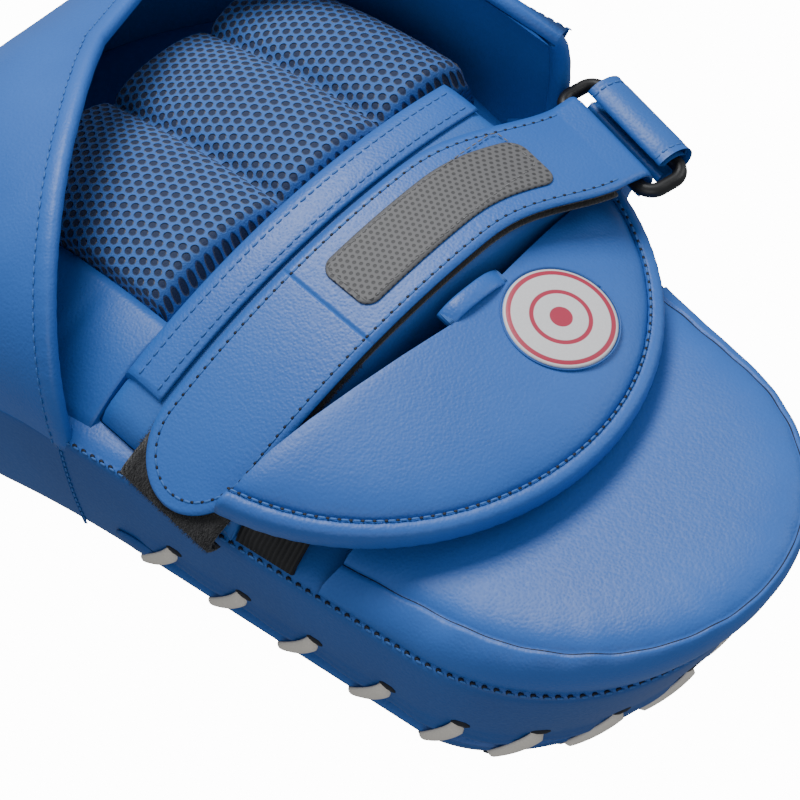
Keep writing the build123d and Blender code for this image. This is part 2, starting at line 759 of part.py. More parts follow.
def hood_form(inset):
    """The hood's outer or inner form, upright at the finger end where it meets the body."""
    stations = [(y - inset if y < 0 else y, share) for y, share in HOOD_STATIONS]
    form = loft([hood_section(y, share, inset) for y, share in stations])
    return form & (column(inset) + block(-TALL / 2, TALL / 2, -TALL / 2, FINGER_Y, -TALL / 2, TALL / 2))


def hood_opening(grow=0.0):
    """Everything on the wrist side of the hood's edge, as a tall upright solid."""
    points = []
    for before, point, after in zip(HOOD_EDGE, HOOD_EDGE[1:], HOOD_EDGE[2:]):
        along = (after[0] - before[0], after[1] - before[1])
        step = grow / hypot(*along)
        points.append((point[0] - along[1] * step, point[1] + along[0] * step))
    first, last = HOOD_EDGE[0], HOOD_EDGE[-1]
    points = [(min(x, last[0] + LEATHER), y) for x, y in points]
    points = [(first[0], first[1] + grow), *points, (last[0] + min(grow, LEATHER), last[1] + grow)]
    with BuildSketch() as sketch:
        with BuildLine():
            Spline(*reversed(points))
            Polyline(
                points[0],
                (-TALL / 3, points[0][1]),
                (-TALL / 3, -TALL / 2),
                (TALL / 3, -TALL / 2),
                (TALL / 3, points[-1][1]),
                points[-1],
            )
        make_face()
    return extrude(sketch.sketch.faces()[0], TALL, dir=(0, 0, 1))


def hood_nodes():
    seat = slab(-TALL / 4, BODY_THICKNESS)
    outer, middle, inner = hood_form(0), hood_form(TRIM), hood_form(HOOD_WALL)
    opening, edged = hood_opening(), hood_opening(HOOD_BINDING)
    return {
        "finger_hood": outer - middle - seat - edged,
        "hood_lining": middle - inner - seat - edged,
        "hood_binding": (outer - inner - seat - opening) & edged,
    }


def main():
    os.makedirs("parts", exist_ok=True)
    nodes = {
        **body_nodes(),
        **heel_nodes(),
        **cushion_nodes(),
        **strap_nodes(),
        **ring_nodes(),
        **flap_nodes(),
        "flap_elastic": elastic(),
        **palm_nodes(),
        **hood_nodes(),
    }
    for name, shape in nodes.items():
        export_step(Compound(children=list(shape.solids())), f"parts/{name}.step")


if __name__ == "__main__":
    main()
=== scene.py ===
import json
import math
import random

import bpy
import bmesh
from mathutils import Matrix, Vector
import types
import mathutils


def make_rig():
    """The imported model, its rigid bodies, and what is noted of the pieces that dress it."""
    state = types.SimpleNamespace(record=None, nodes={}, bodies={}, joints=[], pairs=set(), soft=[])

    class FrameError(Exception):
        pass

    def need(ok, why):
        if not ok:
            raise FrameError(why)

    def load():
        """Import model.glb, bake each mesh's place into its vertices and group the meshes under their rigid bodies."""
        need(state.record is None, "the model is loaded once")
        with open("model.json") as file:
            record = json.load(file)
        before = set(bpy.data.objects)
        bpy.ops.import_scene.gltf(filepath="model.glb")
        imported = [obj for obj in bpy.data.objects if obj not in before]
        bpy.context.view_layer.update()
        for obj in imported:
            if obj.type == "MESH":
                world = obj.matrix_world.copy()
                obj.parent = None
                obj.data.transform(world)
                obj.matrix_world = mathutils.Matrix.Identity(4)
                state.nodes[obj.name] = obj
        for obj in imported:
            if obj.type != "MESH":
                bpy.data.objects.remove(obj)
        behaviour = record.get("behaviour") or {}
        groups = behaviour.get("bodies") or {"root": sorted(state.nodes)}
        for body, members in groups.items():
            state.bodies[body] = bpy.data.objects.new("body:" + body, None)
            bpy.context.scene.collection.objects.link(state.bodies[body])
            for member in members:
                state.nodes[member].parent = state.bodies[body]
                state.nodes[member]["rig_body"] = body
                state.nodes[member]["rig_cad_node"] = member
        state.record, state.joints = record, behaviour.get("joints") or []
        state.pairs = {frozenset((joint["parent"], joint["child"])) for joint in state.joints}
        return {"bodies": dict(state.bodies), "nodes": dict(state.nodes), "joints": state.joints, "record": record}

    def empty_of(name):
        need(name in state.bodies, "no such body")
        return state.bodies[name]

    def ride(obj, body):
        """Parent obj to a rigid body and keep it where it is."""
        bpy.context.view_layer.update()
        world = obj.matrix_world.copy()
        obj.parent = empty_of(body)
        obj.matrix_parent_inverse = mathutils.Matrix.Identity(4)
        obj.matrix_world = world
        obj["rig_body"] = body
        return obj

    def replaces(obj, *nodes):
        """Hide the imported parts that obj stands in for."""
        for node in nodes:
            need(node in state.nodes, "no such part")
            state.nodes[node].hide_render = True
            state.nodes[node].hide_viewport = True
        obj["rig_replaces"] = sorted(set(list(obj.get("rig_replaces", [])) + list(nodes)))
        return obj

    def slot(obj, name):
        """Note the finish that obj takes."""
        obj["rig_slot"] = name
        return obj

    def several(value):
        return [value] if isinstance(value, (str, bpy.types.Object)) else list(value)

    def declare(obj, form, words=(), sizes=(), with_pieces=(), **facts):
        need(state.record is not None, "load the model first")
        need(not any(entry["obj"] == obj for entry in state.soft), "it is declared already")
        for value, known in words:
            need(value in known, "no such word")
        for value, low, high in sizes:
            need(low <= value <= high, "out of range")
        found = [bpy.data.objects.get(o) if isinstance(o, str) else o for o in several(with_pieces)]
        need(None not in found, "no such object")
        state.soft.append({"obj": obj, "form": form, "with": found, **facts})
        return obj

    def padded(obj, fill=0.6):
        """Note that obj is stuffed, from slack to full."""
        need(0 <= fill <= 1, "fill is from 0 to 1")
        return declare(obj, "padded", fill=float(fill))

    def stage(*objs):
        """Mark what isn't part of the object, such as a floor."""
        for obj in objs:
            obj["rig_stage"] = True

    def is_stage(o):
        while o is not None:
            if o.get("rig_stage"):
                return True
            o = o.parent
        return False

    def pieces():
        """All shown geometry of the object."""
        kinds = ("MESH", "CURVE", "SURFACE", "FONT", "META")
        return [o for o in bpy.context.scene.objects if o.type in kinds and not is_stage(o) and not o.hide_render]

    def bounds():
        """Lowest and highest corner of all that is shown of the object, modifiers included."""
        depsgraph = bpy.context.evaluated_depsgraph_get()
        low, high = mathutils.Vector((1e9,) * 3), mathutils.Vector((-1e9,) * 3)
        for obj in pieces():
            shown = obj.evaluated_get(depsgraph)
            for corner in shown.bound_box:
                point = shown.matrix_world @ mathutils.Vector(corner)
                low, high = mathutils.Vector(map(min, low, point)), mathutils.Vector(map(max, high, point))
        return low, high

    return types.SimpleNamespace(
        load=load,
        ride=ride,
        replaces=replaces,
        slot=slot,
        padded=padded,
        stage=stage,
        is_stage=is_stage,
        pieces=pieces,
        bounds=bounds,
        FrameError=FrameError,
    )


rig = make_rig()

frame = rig.load()
CAD_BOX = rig.bounds()

# %% [markdown]
# # Dressing a curved punch pad
#
# The frame came in with every CAD part in its place. The soft parts are plain solids there.
# This script builds the leather, thread, lace and mesh that stand for them.

# %% dimensions
# Millimetres, the same as the frame's own driving dimensions.
LENGTH, WRIST_R, FINGER_R = 344.0, 73.0, 102.0
THICK, UNDERCUT, LEAN, SLOPE, BEND_R = 48.0, 15.0, 22.0, 8.0, 200.0
WRIST_Y, FINGER_Y = -LENGTH / 2 + 5.0 + WRIST_R, LENGTH / 2 - FINGER_R
SIN, COS, TAN = math.sin(math.radians(SLOPE)), math.cos(math.radians(SLOPE)), math.tan(math.radians(SLOPE))
START_Z = (-WRIST_Y - UNDERCUT + WRIST_R) * TAN
BEND_Y, BEND_Z = BEND_R * SIN, START_Z - BEND_R * COS
FAR_Y, FAR_Z = LENGTH / 2 - BEND_Y, -BEND_Z
FINGER_SLOPE = math.atan2(FAR_Y, FAR_Z) - math.acos(BEND_R / math.hypot(FAR_Y, FAR_Z))
SLIT_REACH = 208.0
rng = random.Random(7)
print("finger slope", round(math.degrees(FINGER_SLOPE), 2))

# %% [markdown]
# The pad's plan is two circles and the lines that touch both. The wrist circle flattens
# towards the striking face, so the wrist end leans back under itself.

# %% body shape
T0 = math.asin((FINGER_R - WRIST_R) / (FINGER_Y - WRIST_Y))
ARC_WRIST = WRIST_R * (math.pi / 2 - T0)
SIDE = (FINGER_Y - WRIST_Y) * math.cos(T0)
ARC_FINGER = FINGER_R * (math.pi / 2 + T0)
HALF_ROUND = ARC_WRIST + SIDE + ARC_FINGER


def plan(s, inset=0.0, shift=0.0):
    """A point of the outline, s along it from the middle of the wrist end."""
    a, side, w, f = abs(s), T0, WRIST_R - inset, FINGER_R - inset
    if a < ARC_WRIST:
        turn = a / ARC_WRIST * (math.pi / 2 - side)
        flat = 1 - shift / (w * (1 - math.sin(side)))
        x = w * math.sin(turn)
        y = WRIST_Y - w * math.sin(side) - w * (math.cos(turn) - math.sin(side)) * flat
    elif a < ARC_WRIST + SIDE:
        k = (a - ARC_WRIST) / SIDE
        low = (w * math.cos(side), WRIST_Y - w * math.sin(side))
        high = (f * math.cos(side), FINGER_Y - f * math.sin(side))
        x, y = low[0] + (high[0] - low[0]) * k, low[1] + (high[1] - low[1]) * k
    else:
        turn = -side + (a - ARC_WRIST - SIDE) / ARC_FINGER * (math.pi / 2 + side)
        x, y = f * math.cos(turn), FINGER_Y + f * math.sin(turn)
    return (x if s >= 0 else -x, y)


def back_z(y, height=THICK):
    """Height of a layer of the body over y."""
    r = BEND_R + height
    first = (BEND_Y - r * SIN, BEND_Z + r * COS)
    last = (BEND_Y + r * math.sin(FINGER_SLOPE), BEND_Z + r * math.cos(FINGER_SLOPE))
    if y < first[0]:
        return first[1] - (first[0] - y) * TAN
    if y > last[0]:
        return last[1] - (y - last[0]) * math.tan(FINGER_SLOPE)
    return BEND_Z + math.sqrt(r * r - (y - BEND_Y) ** 2)


def wall(s, height, inset=0.0):
    """A point of the body's skin at a height above the striking face."""
    shift = 0.0
    for _ in range(6):
        x, y = plan(s, inset, shift)
        z = back_z(y, height)
        shift = LEAN * max(0.0, min(1.0, 1 - z / THICK))
    return (x, y, z)


WRIST_RISE = BEND_Z + (BEND_R + THICK) / COS - BEND_Y * TAN


def wrist(x, y, z):
    """From the wrist half's own frame to the pad's."""
    return (x, y * COS - z * SIN, WRIST_RISE + y * SIN + z * COS)


def smooth(x):
    x = max(0.0, min(1.0, x))
    return x * x * (3 - 2 * x)


print("wrist rise", round(WRIST_RISE, 3))

# %% [markdown]
# Every piece is a grid of points, a run of small capsules, or a tube along a line.

# %% mesh helpers
def piece(name, points, faces, uv=None):
    mesh = bpy.data.meshes.new(name)
    mesh.from_pydata([tuple(c / 1000 for c in p) for p in points], [], faces)
    if uv:
        layer = mesh.uv_layers.new(name="metres")
        for loop in mesh.loops:
            layer.data[loop.index].uv = [c / 1000 for c in uv[loop.vertex_index]]
    work = bmesh.new()
    work.from_mesh(mesh)
    bmesh.ops.remove_doubles(work, verts=work.verts, dist=2e-6)
    bmesh.ops.recalc_face_normals(work, faces=work.faces)
    work.to_mesh(mesh)
    work.free()
    mesh.polygons.foreach_set("use_smooth", [len(f.vertices) < 9 for f in mesh.polygons])
    obj = bpy.data.objects.new(name, mesh)
    bpy.context.collection.objects.link(obj)
    return obj


def grid_faces(rows, columns, around=False, capped=False):
    faces = []
    last = columns if around else columns - 1
    for i in range(rows - 1):
        for j in range(last):
            k = (j + 1) % columns
            faces.append((i * columns + j, i * columns + k, (i + 1) * columns + k, (i + 1) * columns + j))
    if capped:
        faces.append(tuple(range(columns)))
        faces.append(tuple(range((rows - 1) * columns, rows * columns)))
    return faces


def grid(name, rows, around=False, capped=False, uv=None):
    points = [p for row in rows for p in row]
    flat = [p for row in uv for p in row] if uv else None
    return piece(name, points, grid_faces(len(rows), len(rows[0]), around, capped), flat)


def frames(path):
    """Along, side and up directions at each point of a path, without twist."""
    pts = [Vector(p) for p in path]
    side, out = None, []
    for i, p in enumerate(pts):
        along = (pts[min(i + 1, len(pts) - 1)] - pts[max(i - 1, 0)]).normalized()
        if side is None:
            side = along.orthogonal().normalized()
        side = (side - along * side.dot(along)).normalized()
        out.append((p, along, side, along.cross(side)))
    return out


def tube(name, path, width, height=None, up=None, n=10, ends=1.0):
    """A tube of oval section along a path; up is a function that gives its height direction."""
    height = height or width
    rows = []
    steps = frames(path)
    for i, (p, along, side, other) in enumerate(steps):
        if up:
            other = Vector(up(i)).normalized()
            side = along.cross(other).normalized()
        k = min(i, len(steps) - 1 - i)
        w = ends if k == 0 else 1.0
        rows.append([
            tuple(p + side * (width / 2 * w * math.cos(2 * math.pi * j / n))
                  + other * (height / 2 * w * math.sin(2 * math.pi * j / n)))
            for j in range(n)
        ])
    return grid(name, rows, around=True, capped=True)


def resample(path, step, phase=0.5):
    """Points at even steps along a path, each with its direction."""
    pts = [Vector(p) for p in path]
    out, want, run = [], step * phase, 0.0
    for a, b in zip(pts, pts[1:]):
        d = (b - a).length
        while want <= run + d and d > 1e-9:
            k = (want - run) / d
            out.append((a + (b - a) * k, (b - a).normalized()))
            want += step
        run += d
    return out


def beads(name, places, size):
    """Small rounded beads, each at (place, along, up) with half sizes along, across and up."""
    points, faces = [], []
    for p, along, up in places:
        side = along.cross(up).normalized()
        top = side.cross(along).normalized()
        base = len(points)
        for e, r in ((-1.0, 0.35), (-0.55, 0.9), (0.55, 0.9), (1.0, 0.35)):
            for j in range(6):
                c, s = math.cos(j * math.pi / 3), math.sin(j * math.pi / 3)
                points.append(tuple(p + along * (size[0] * e) + side * (size[1] * r * c)
                                    + top * (size[2] * r * s)))
        faces += [tuple(base + i * 6 + q for q in (j, (j + 1) % 6, 6 + (j + 1) % 6, 6 + j))
                  for i in range(3) for j in range(6)]
        faces += [tuple(base + j for j in range(6)), tuple(base + 18 + j for j in range(6))]
    return piece(name, points, faces)


def stitches(name, path, up, pitch=3.6, length=2.6, thick=0.5):
    """A run of thread stitches along a path; up(p) gives the surface's outward direction."""
    places = [(p, d, Vector(up(p))) for p, d in resample(path, pitch)]
    return beads(name, places, (length / 2, thick, thick * 0.7))


# Flat beads at the stitch holes; their near-black finish is painted shade in the holes.
def holes(name, path, up, pitch=3.6, size=0.55):
    places = [(p, d, Vector(up(p))) for p, d in resample(path, pitch, 0.02)]
    return beads(name, places, (size * 1.2, size, size * 0.5))


# %% [markdown]
# Materials. Socket maths reads like ordinary maths through one small class.

# %% shader helpers
class Value:
    def __init__(self, tree, socket):
        self.tree, self.socket = tree, socket

    def math(self, kind, other=None, third=None):
        node = self.tree.nodes.new("ShaderNodeMath")
        node.operation = kind
        for slot_number, item in enumerate((self, other, third)):
            if isinstance(item, Value):
                self.tree.links.new(item.socket, node.inputs[slot_number])
            elif item is not None:
                node.inputs[slot_number].default_value = item
        return Value(self.tree, node.outputs[0])

    def __add__(self, other): return self.math("ADD", other)
    def __sub__(self, other): return self.math("SUBTRACT", other)
    def __mul__(self, other): return self.math("MULTIPLY", other)
    def __truediv__(self, other): return self.math("DIVIDE", other)
    def __radd__(self, other): return self.math("ADD", other)
    def __rmul__(self, other): return self.math("MULTIPLY", other)
    def __rsub__(self, other): return (self * -1.0).math("ADD", other)

    def step(self, low, high):
        node = self.tree.nodes.new("ShaderNodeMapRange")
        node.interpolation_type = "SMOOTHSTEP"
        node.inputs["From Min"].default_value = low
        node.inputs["From Max"].default_value = high
        self.tree.links.new(self.socket, node.inputs["Value"])
        return Value(self.tree, node.outputs["Result"])


class Surface:
    """One material, with short ways to add the nodes that it needs."""

    def __init__(self, name):
        self.material = bpy.data.materials.new(name)
        self.material.use_nodes = True
        self.tree = self.material.node_tree
        self.shader = self.tree.nodes["Principled BSDF"]

    def node(self, kind, settings=None, output=0, **sockets):
        made = self.tree.nodes.new(kind)
        for key, value in (settings or {}).items():
            setattr(made, key, value)
        for key, value in sockets.items():
            target = made.inputs[key.replace("_", " ")]
            if isinstance(value, Value):
                self.tree.links.new(value.socket, target)
            else:
                target.default_value = value
        return Value(self.tree, made.outputs[output])

    def place(self, kind="Object"):
        return self.node("ShaderNodeTexCoord", output=kind)

    def noise(self, scale, detail=3.0, where=None, **more):
        return self.node("ShaderNodeTexNoise", Vector=where or self.place(),
                         Scale=scale, Detail=detail, **more)

    def cells(self, scale, kind="F1", where=None, **more):
        return self.node("ShaderNodeTexVoronoi", {"feature": kind}, Vector=where or self.place(),
                         Scale=scale, **more)

    def mix(self, factor, a, b):
        made = self.tree.nodes.new("ShaderNodeMix")
        made.data_type = "RGBA"
        for socket, value in ((made.inputs[0], factor), (made.inputs[6], a), (made.inputs[7], b)):
            if isinstance(value, Value):
                self.tree.links.new(value.socket, socket)
            else:
                socket.default_value = (*value, 1.0) if isinstance(value, tuple) else value
        return Value(self.tree, made.outputs[2])

    def set(self, name, value):
        target = self.shader.inputs[name]
        if isinstance(value, Value):
            self.tree.links.new(value.socket, target)
        else:
            target.default_value = (*value, 1.0) if isinstance(value, tuple) else value
        return self

    def bump(self, height, distance, strength=1.0):
        return self.set("Normal", self.node(
            "ShaderNodeBump", Height=height, Distance=distance / 1000, Strength=strength))


# %% leather
def leather(name, light, dark, grain=1.0, rough=0.46):
    s = Surface(name)
    cloud = s.noise(14.0, 4.0).step(0.3, 0.72)
    fine = s.noise(1000.0, 2.0)
    pebble = s.cells(1150.0, "SMOOTH_F1")
    crease = s.noise(160.0, 5.0)
    s.set("Base Color", s.mix(cloud * 0.55 + fine * 0.25 + pebble * 0.2, dark, light))
    s.set("Roughness", rough + (cloud * 0.07 - pebble * 0.1) + fine * 0.06)
    s.set("Specular IOR Level", 0.42)
    s.bump(pebble * (-0.7 * grain) + fine * 0.35 + crease * 0.5, 0.16, 0.75)
    return s.material


blue = leather("blue leather", (0.036, 0.15, 0.52), (0.021, 0.105, 0.4))
# A darker copy of the blue leather for the side walls and a few grooves: painted shade.
side_shade_blue = leather("blue leather with painted side shade", (0.025, 0.115, 0.41), (0.013, 0.07, 0.27), 0.8, 0.5)
strap_blue = leather("blue strap leather", (0.035, 0.145, 0.5), (0.022, 0.108, 0.41), 1.2, 0.43)
lining = leather("blue lining leather", (0.036, 0.15, 0.5), (0.02, 0.1, 0.37), 1.1, 0.48)
print("leathers", blue.name, side_shade_blue.name, strap_blue.name, lining.name)

# %% cloth, thread and print
def pile(name, colour, tip):
    s = Surface(name)
    tuft = s.noise(1500.0, 3.0)
    clump = s.noise(260.0, 4.0)
    s.set("Base Color", s.mix(tuft * clump * 1.6, colour, tip))
    s.set("Roughness", 0.9 + tuft * 0.05)
    s.set("Sheen Weight", 0.25)
    s.bump(tuft + clump * 0.8, 0.7, 0.9)
    return s.material


def thread(name, light, dark):
    s = Surface(name)
    twist = s.noise(2200.0, 2.0)
    s.set("Base Color", s.mix(twist, dark, light)).set("Roughness", 0.6 + twist * 0.15)
    s.bump(twist, 0.1, 0.6)
    return s.material


def hexagons(s, pitch):
    """Distance from each point of the surface's own map to the nearest centre of a hexagonal set."""
    parts = []
    for offset in (0.0, 0.5):
        place = s.node("ShaderNodeMapping", Vector=s.place("UV"), Location=(offset, offset, 0),
                       Scale=(1000 / pitch, 1000 / (pitch * 1.732), 0))
        cell = s.node("ShaderNodeVectorMath", {"operation": "FRACTION"}, Vector=place)
        made = s.tree.nodes.new("ShaderNodeVectorMath")
        made.operation = "MULTIPLY_ADD"
        s.tree.links.new(cell.socket, made.inputs[0])
        made.inputs[1].default_value = (1, 1.732, 0)
        made.inputs[2].default_value = (-0.5, -0.866, 0)
        length = s.tree.nodes.new("ShaderNodeVectorMath")
        length.operation = "LENGTH"
        s.tree.links.new(made.outputs[0], length.inputs[0])
        parts.append(Value(s.tree, length.outputs["Value"]))
    return parts[0].math("MINIMUM", parts[1])


def air_mesh(name):
    s = Surface(name)
    away = hexagons(s, 3.7)
    solid = away.step(0.26, 0.4)
    knit = s.noise(1700.0, 2.0)
    cloud = s.noise(35.0, 3.0)
    cloth = s.mix(knit * 0.6 + cloud * 0.4, (0.014, 0.075, 0.3), (0.04, 0.165, 0.5))
    # The hexagonal holes are coloured near black: painted shade in the holes; the knit between keeps its own blue.
    s.set("Base Color", s.mix(solid, (0.004, 0.016, 0.06), cloth))
    s.set("Roughness", 0.75 + knit * 0.1).set("Sheen Weight", 0.15)
    s.bump(solid * 1.6 + knit * 0.3, 0.75, 1.0)
    return s.material


def webbing(name, colour, tip):
    s = Surface(name)
    rib = s.node("ShaderNodeTexWave", {"bands_direction": "X"}, Vector=s.place("UV"), Scale=190.0,
                 Distortion=1.2, Detail=2.0, output=1)
    yarn = s.noise(1600.0, 2.0)
    s.set("Base Color", s.mix(rib * 0.6 + yarn * 0.4, colour, tip)).set("Roughness", 0.72 + yarn * 0.12)
    s.bump(rib + yarn * 0.4, 0.5, 0.9)
    return s.material


def facets(name):
    s = Surface(name)
    away = hexagons(s, 2.1)
    dot = away.step(0.2, 0.34)
    grain = s.noise(1300.0, 2.0)
    shade = dot * 0.75 + grain * 0.25
    s.set("Base Color", s.mix(shade, (0.022, 0.022, 0.024), (0.115, 0.115, 0.12)))
    s.set("Roughness", 0.56 + grain * 0.1)
    s.bump(dot, 0.15, 0.6)
    return s.material


def badge_print(name):
    s = Surface(name)
    split = s.node("ShaderNodeVectorMath", {"operation": "LENGTH"}, Vector=s.place("UV"), output="Value")
    r = split * 1000.0
    rim = r.step(15.1, 15.4) - r.step(16.6, 16.9)
    ring = r.step(8.2, 8.5) - r.step(9.6, 9.9)
    dot = 1.0 - r.step(3.4, 3.7)
    weave = s.noise(1400.0, 2.0)
    mark = (rim + ring + dot).math("MINIMUM", 1.0)
    base = s.mix(weave * 0.5, (0.6, 0.6, 0.62), (0.8, 0.8, 0.8))
    s.set("Base Color", s.mix(mark, base, (0.42, 0.03, 0.07)))
    s.set("Roughness", 0.4 + weave * 0.12).bump(weave * 0.4 - mark * 0.8, 0.2, 0.5)
    return s.material


def painted(name, colour):
    s = Surface(name)
    peel = s.noise(420.0, 3.0)
    wear = s.noise(60.0, 4.0).step(0.62, 0.8)
    s.set("Base Color", s.mix(wear * 0.4, colour, (0.03, 0.03, 0.032)))
    s.set("Roughness", 0.34 + peel * 0.15 + wear * 0.1).bump(peel, 0.05, 0.4)
    return s.material


black_pile = pile("black pile", (0.004, 0.004, 0.005), (0.03, 0.03, 0.032))
hook = pile("black hook tape", (0.006, 0.006, 0.007), (0.04, 0.04, 0.042))
mesh_cloth = air_mesh("blue air mesh")
web = webbing("black elastic", (0.004, 0.004, 0.005), (0.028, 0.028, 0.03))
label_skin = facets("grey label")
badge_skin = badge_print("badge")
blue_thread = thread("blue thread", (0.045, 0.17, 0.5), (0.02, 0.09, 0.32))
# Near-black finish for holes and a seam crease: painted shade.
hole_shade = thread("painted hole shade", (0.004, 0.008, 0.02), (0.002, 0.004, 0.012))
cotton = thread("cream lace", (0.86, 0.8, 0.72), (0.62, 0.57, 0.5))
ring_paint = painted("black ring paint", (0.008, 0.008, 0.009))
foam_grey = pile("grey foam", (0.1, 0.1, 0.105), (0.2, 0.2, 0.205))
print("cloth and thread ready")


# %% dressing
def dress(obj, material, body, slot_name, *nodes, fill=None):
    obj.data.materials.clear()
    obj.data.materials.append(material)
    if nodes:
        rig.replaces(obj, *nodes)
    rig.slot(obj, slot_name)
    if fill is not None:
        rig.padded(obj, fill)
    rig.ride(obj, body)
    return obj


# %% [markdown]
# The body's skin: a striking face, a rolled lower edge, the side band with the folded lips of
# its laced slit, and the back panel, slightly puffed between its seams.

# %% body skin
def slit_share(s):
    return smooth((SLIT_REACH - abs(s)) / 14)


def band_offset(s, h):
    """How far the side band stands out from its plain wall."""
    share = slit_share(s)
    belly = 1.2 * math.sin(math.pi * max(0.0, min(1.0, h / THICK)))
    lip = 1.1 * (math.exp(-((h - 10.2) / 1.3) ** 2) + math.exp(-((h - 17.2) / 1.5) ** 2))
    fold = 0.5 * math.exp(-((h - 20.2) / 1.0) ** 2)
    gap = -4.2 * smooth((h - 11.2) / 1.6) * smooth((16.0 - h) / 1.6)
    pull = 0.35 * math.cos(2 * math.pi * (s - 7) / 26.3)
    return belly + share * (lip + fold + gap + pull * math.exp(-((h - 18) / 5) ** 2))


STEPS = 460
ALONG = [HALF_ROUND * (2 * i / STEPS - 1) for i in range(STEPS)]
EDGE = [(8.5, 0.0), (5.5, 0.25), (3.2, 1.0), (1.5, 2.4), (0.5, 4.2), (0.0, 6.0)]
BAND = [7.5, 8.6, 9.6, 10.6, 11.4, 12.2, 13.0, 13.8, 14.6, 15.4, 16.2, 17.0, 18.0, 19.0, 20.2, 21.4, 23.5,
        27, 31, 35, 39, 42.5, 45.0]
ROLL = [(0.1, 46.2), (0.7, 47.0), (1.5, 47.2), (2.3, 47.6), (3.6, 48.5),
        (6.0, 49.2), (9.5, 49.6), (14.0, 49.9)]
rows = []
for k in (0.0, 0.3, 0.6, 0.85):
    ring = []
    for s in ALONG:
        x, y, z = wall(s, 0, 8.5)
        ring.append((x * k, y, back_z(y, 0)))
    rows.append(ring)
rows += [[wall(s, h, inset) for s in ALONG] for inset, h in EDGE]
rows += [[wall(s, h, -band_offset(s, h)) for s in ALONG] for h in BAND]
rows += [[wall(s, h, inset) for s in ALONG] for inset, h in ROLL]
for k in (0.85, 0.6, 0.3, 0.0):
    ring = []
    for s in ALONG:
        x, y, z = wall(s, 49.9, 14.0)
        ring.append((x * k, y, back_z(y, 49.9 + 0.3 * (1 - k))))
    rows.append(ring)
body = grid("body_skin", rows, around=True)
dress(body, side_shade_blue, "pad", "shell_leather", "striking_panel", "side_band_wrist", "side_band_finger",
      "back_panel", "firm_foam", "gel_sheet", "core_foam", "lace_tongue", fill=0.9)
# Faces that look up take the plain blue leather; the rest keep the darker copy, painted shade on the side walls.
body.data.materials.append(blue)
for polygon in body.data.polygons:
    if polygon.normal.z > 0.6:
        polygon.material_index = 1

disc = grid("target_disc_skin", [
    [(r * math.cos(a / 48 * 2 * math.pi), 27.84 + r * math.sin(a / 48 * 2 * math.pi),
      back_z(27.84 + r * math.sin(a / 48 * 2 * math.pi), h)) for a in range(48)]
    for r, h in ((0.0, -1.0), (20.0, -1.0), (24.2, -1.0), (25.0, -0.6), (25.0, 0.3))], around=True)
dress(disc, strap_blue, "pad", "accent_leather", "target_disc")

# %% seams of the body
def seam_up(p):
    flat = Vector((p[0], p[1] + 60 if p[1] < 0 else p[1] * 0.3, 0)).normalized()
    return flat * 0.7 + Vector((0, 0, 0.9))


seam = [wall(s, 47.25, 1.0) for s in ALONG] + [wall(ALONG[0], 47.25, 1.0)]
dress(holes("edge_seam_holes", seam, seam_up, 3.5, 0.7), hole_shade, "pad", "lining_leather")
dress(stitches("edge_seam_thread", [wall(s, 47.2, 0.55) for s in ALONG], seam_up, 3.5, 2.1, 0.42),
      blue_thread, "pad", "lining_leather")
low_seam = [wall(s, 0.6, 3.7) for s in ALONG] + [wall(ALONG[0], 0.6, 3.7)]
dress(stitches("face_seam_thread", low_seam, lambda p: (p[0], p[1], -60), 3.6, 2.6, 0.45),
      blue_thread, "pad", "lining_leather")
for sign in (-1, 1):
    at = ARC_WRIST + (19 - (WRIST_Y - WRIST_R * math.sin(T0))) / math.cos(T0)
    line = [wall(sign * at, 4 + 1.2 * i, -band_offset(sign * at, 4 + 1.2 * i) - 0.25) for i in range(35)]
    tag = "thumb" if sign > 0 else "little"
    dress(stitches("band_joint_" + tag, line, lambda p: (p[0], 0, 0), 2.6, 2.0, 0.45),
          blue_thread, "pad", "lining_leather")
    # The fold takes the darker side leather: painted shade, as on the side band.
    dress(tube("band_joint_fold_" + tag, [(x + sign * -0.2, y + 1.2, z) for x, y, z in line], 1.5, 0.9),
          side_shade_blue, "pad", "shell_leather")
print("body seams done")

# %% [markdown]
# The lace is a flat cotton tape. Each stitch leaves an upper hole, arches out over the slit
# and tucks in at the lower hole. Both holes are near-black beads: painted shade in the holes.

# %% lace
LACE_FIRST, LACE_PITCH, LACE_COUNT = -197.25, 26.3, 16


def lace_stitch(number):
    up = LACE_FIRST + LACE_PITCH * number + 7.0
    top, low = 23.0, 7.6
    rows, count = [], 14
    for i in range(count + 1):
        k = i / count
        s = up - 15.0 * (k ** 1.15)
        h = top - (top - low) * k
        arch = 0.6 + 1.1 * math.sin(math.pi * min(1, k * 1.02)) ** 0.6 - 1.5 * (k < 0.02 or k > 0.98)
        width = 5.4 * (1 - 0.45 * k ** 3) * (0.75 if i == 0 else 1)
        centre = Vector(wall(s, h, -1.2 - arch))
        ahead = Vector(wall(s - 0.6, h - 0.7, -1.2 - arch))
        out = (Vector(wall(s, h, -10)) - Vector(wall(s, h, 0))).normalized()
        along = (ahead - centre).normalized()
        side = along.cross(out).normalized()
        ring = []
        for j in range(12):
            c, q = math.cos(j * math.pi / 6), math.sin(j * math.pi / 6)
            ring.append(tuple(centre + side * (width / 2 * c) + out * (0.95 * q - 0.25 * c * c)))
        rows.append(ring)
    return rows


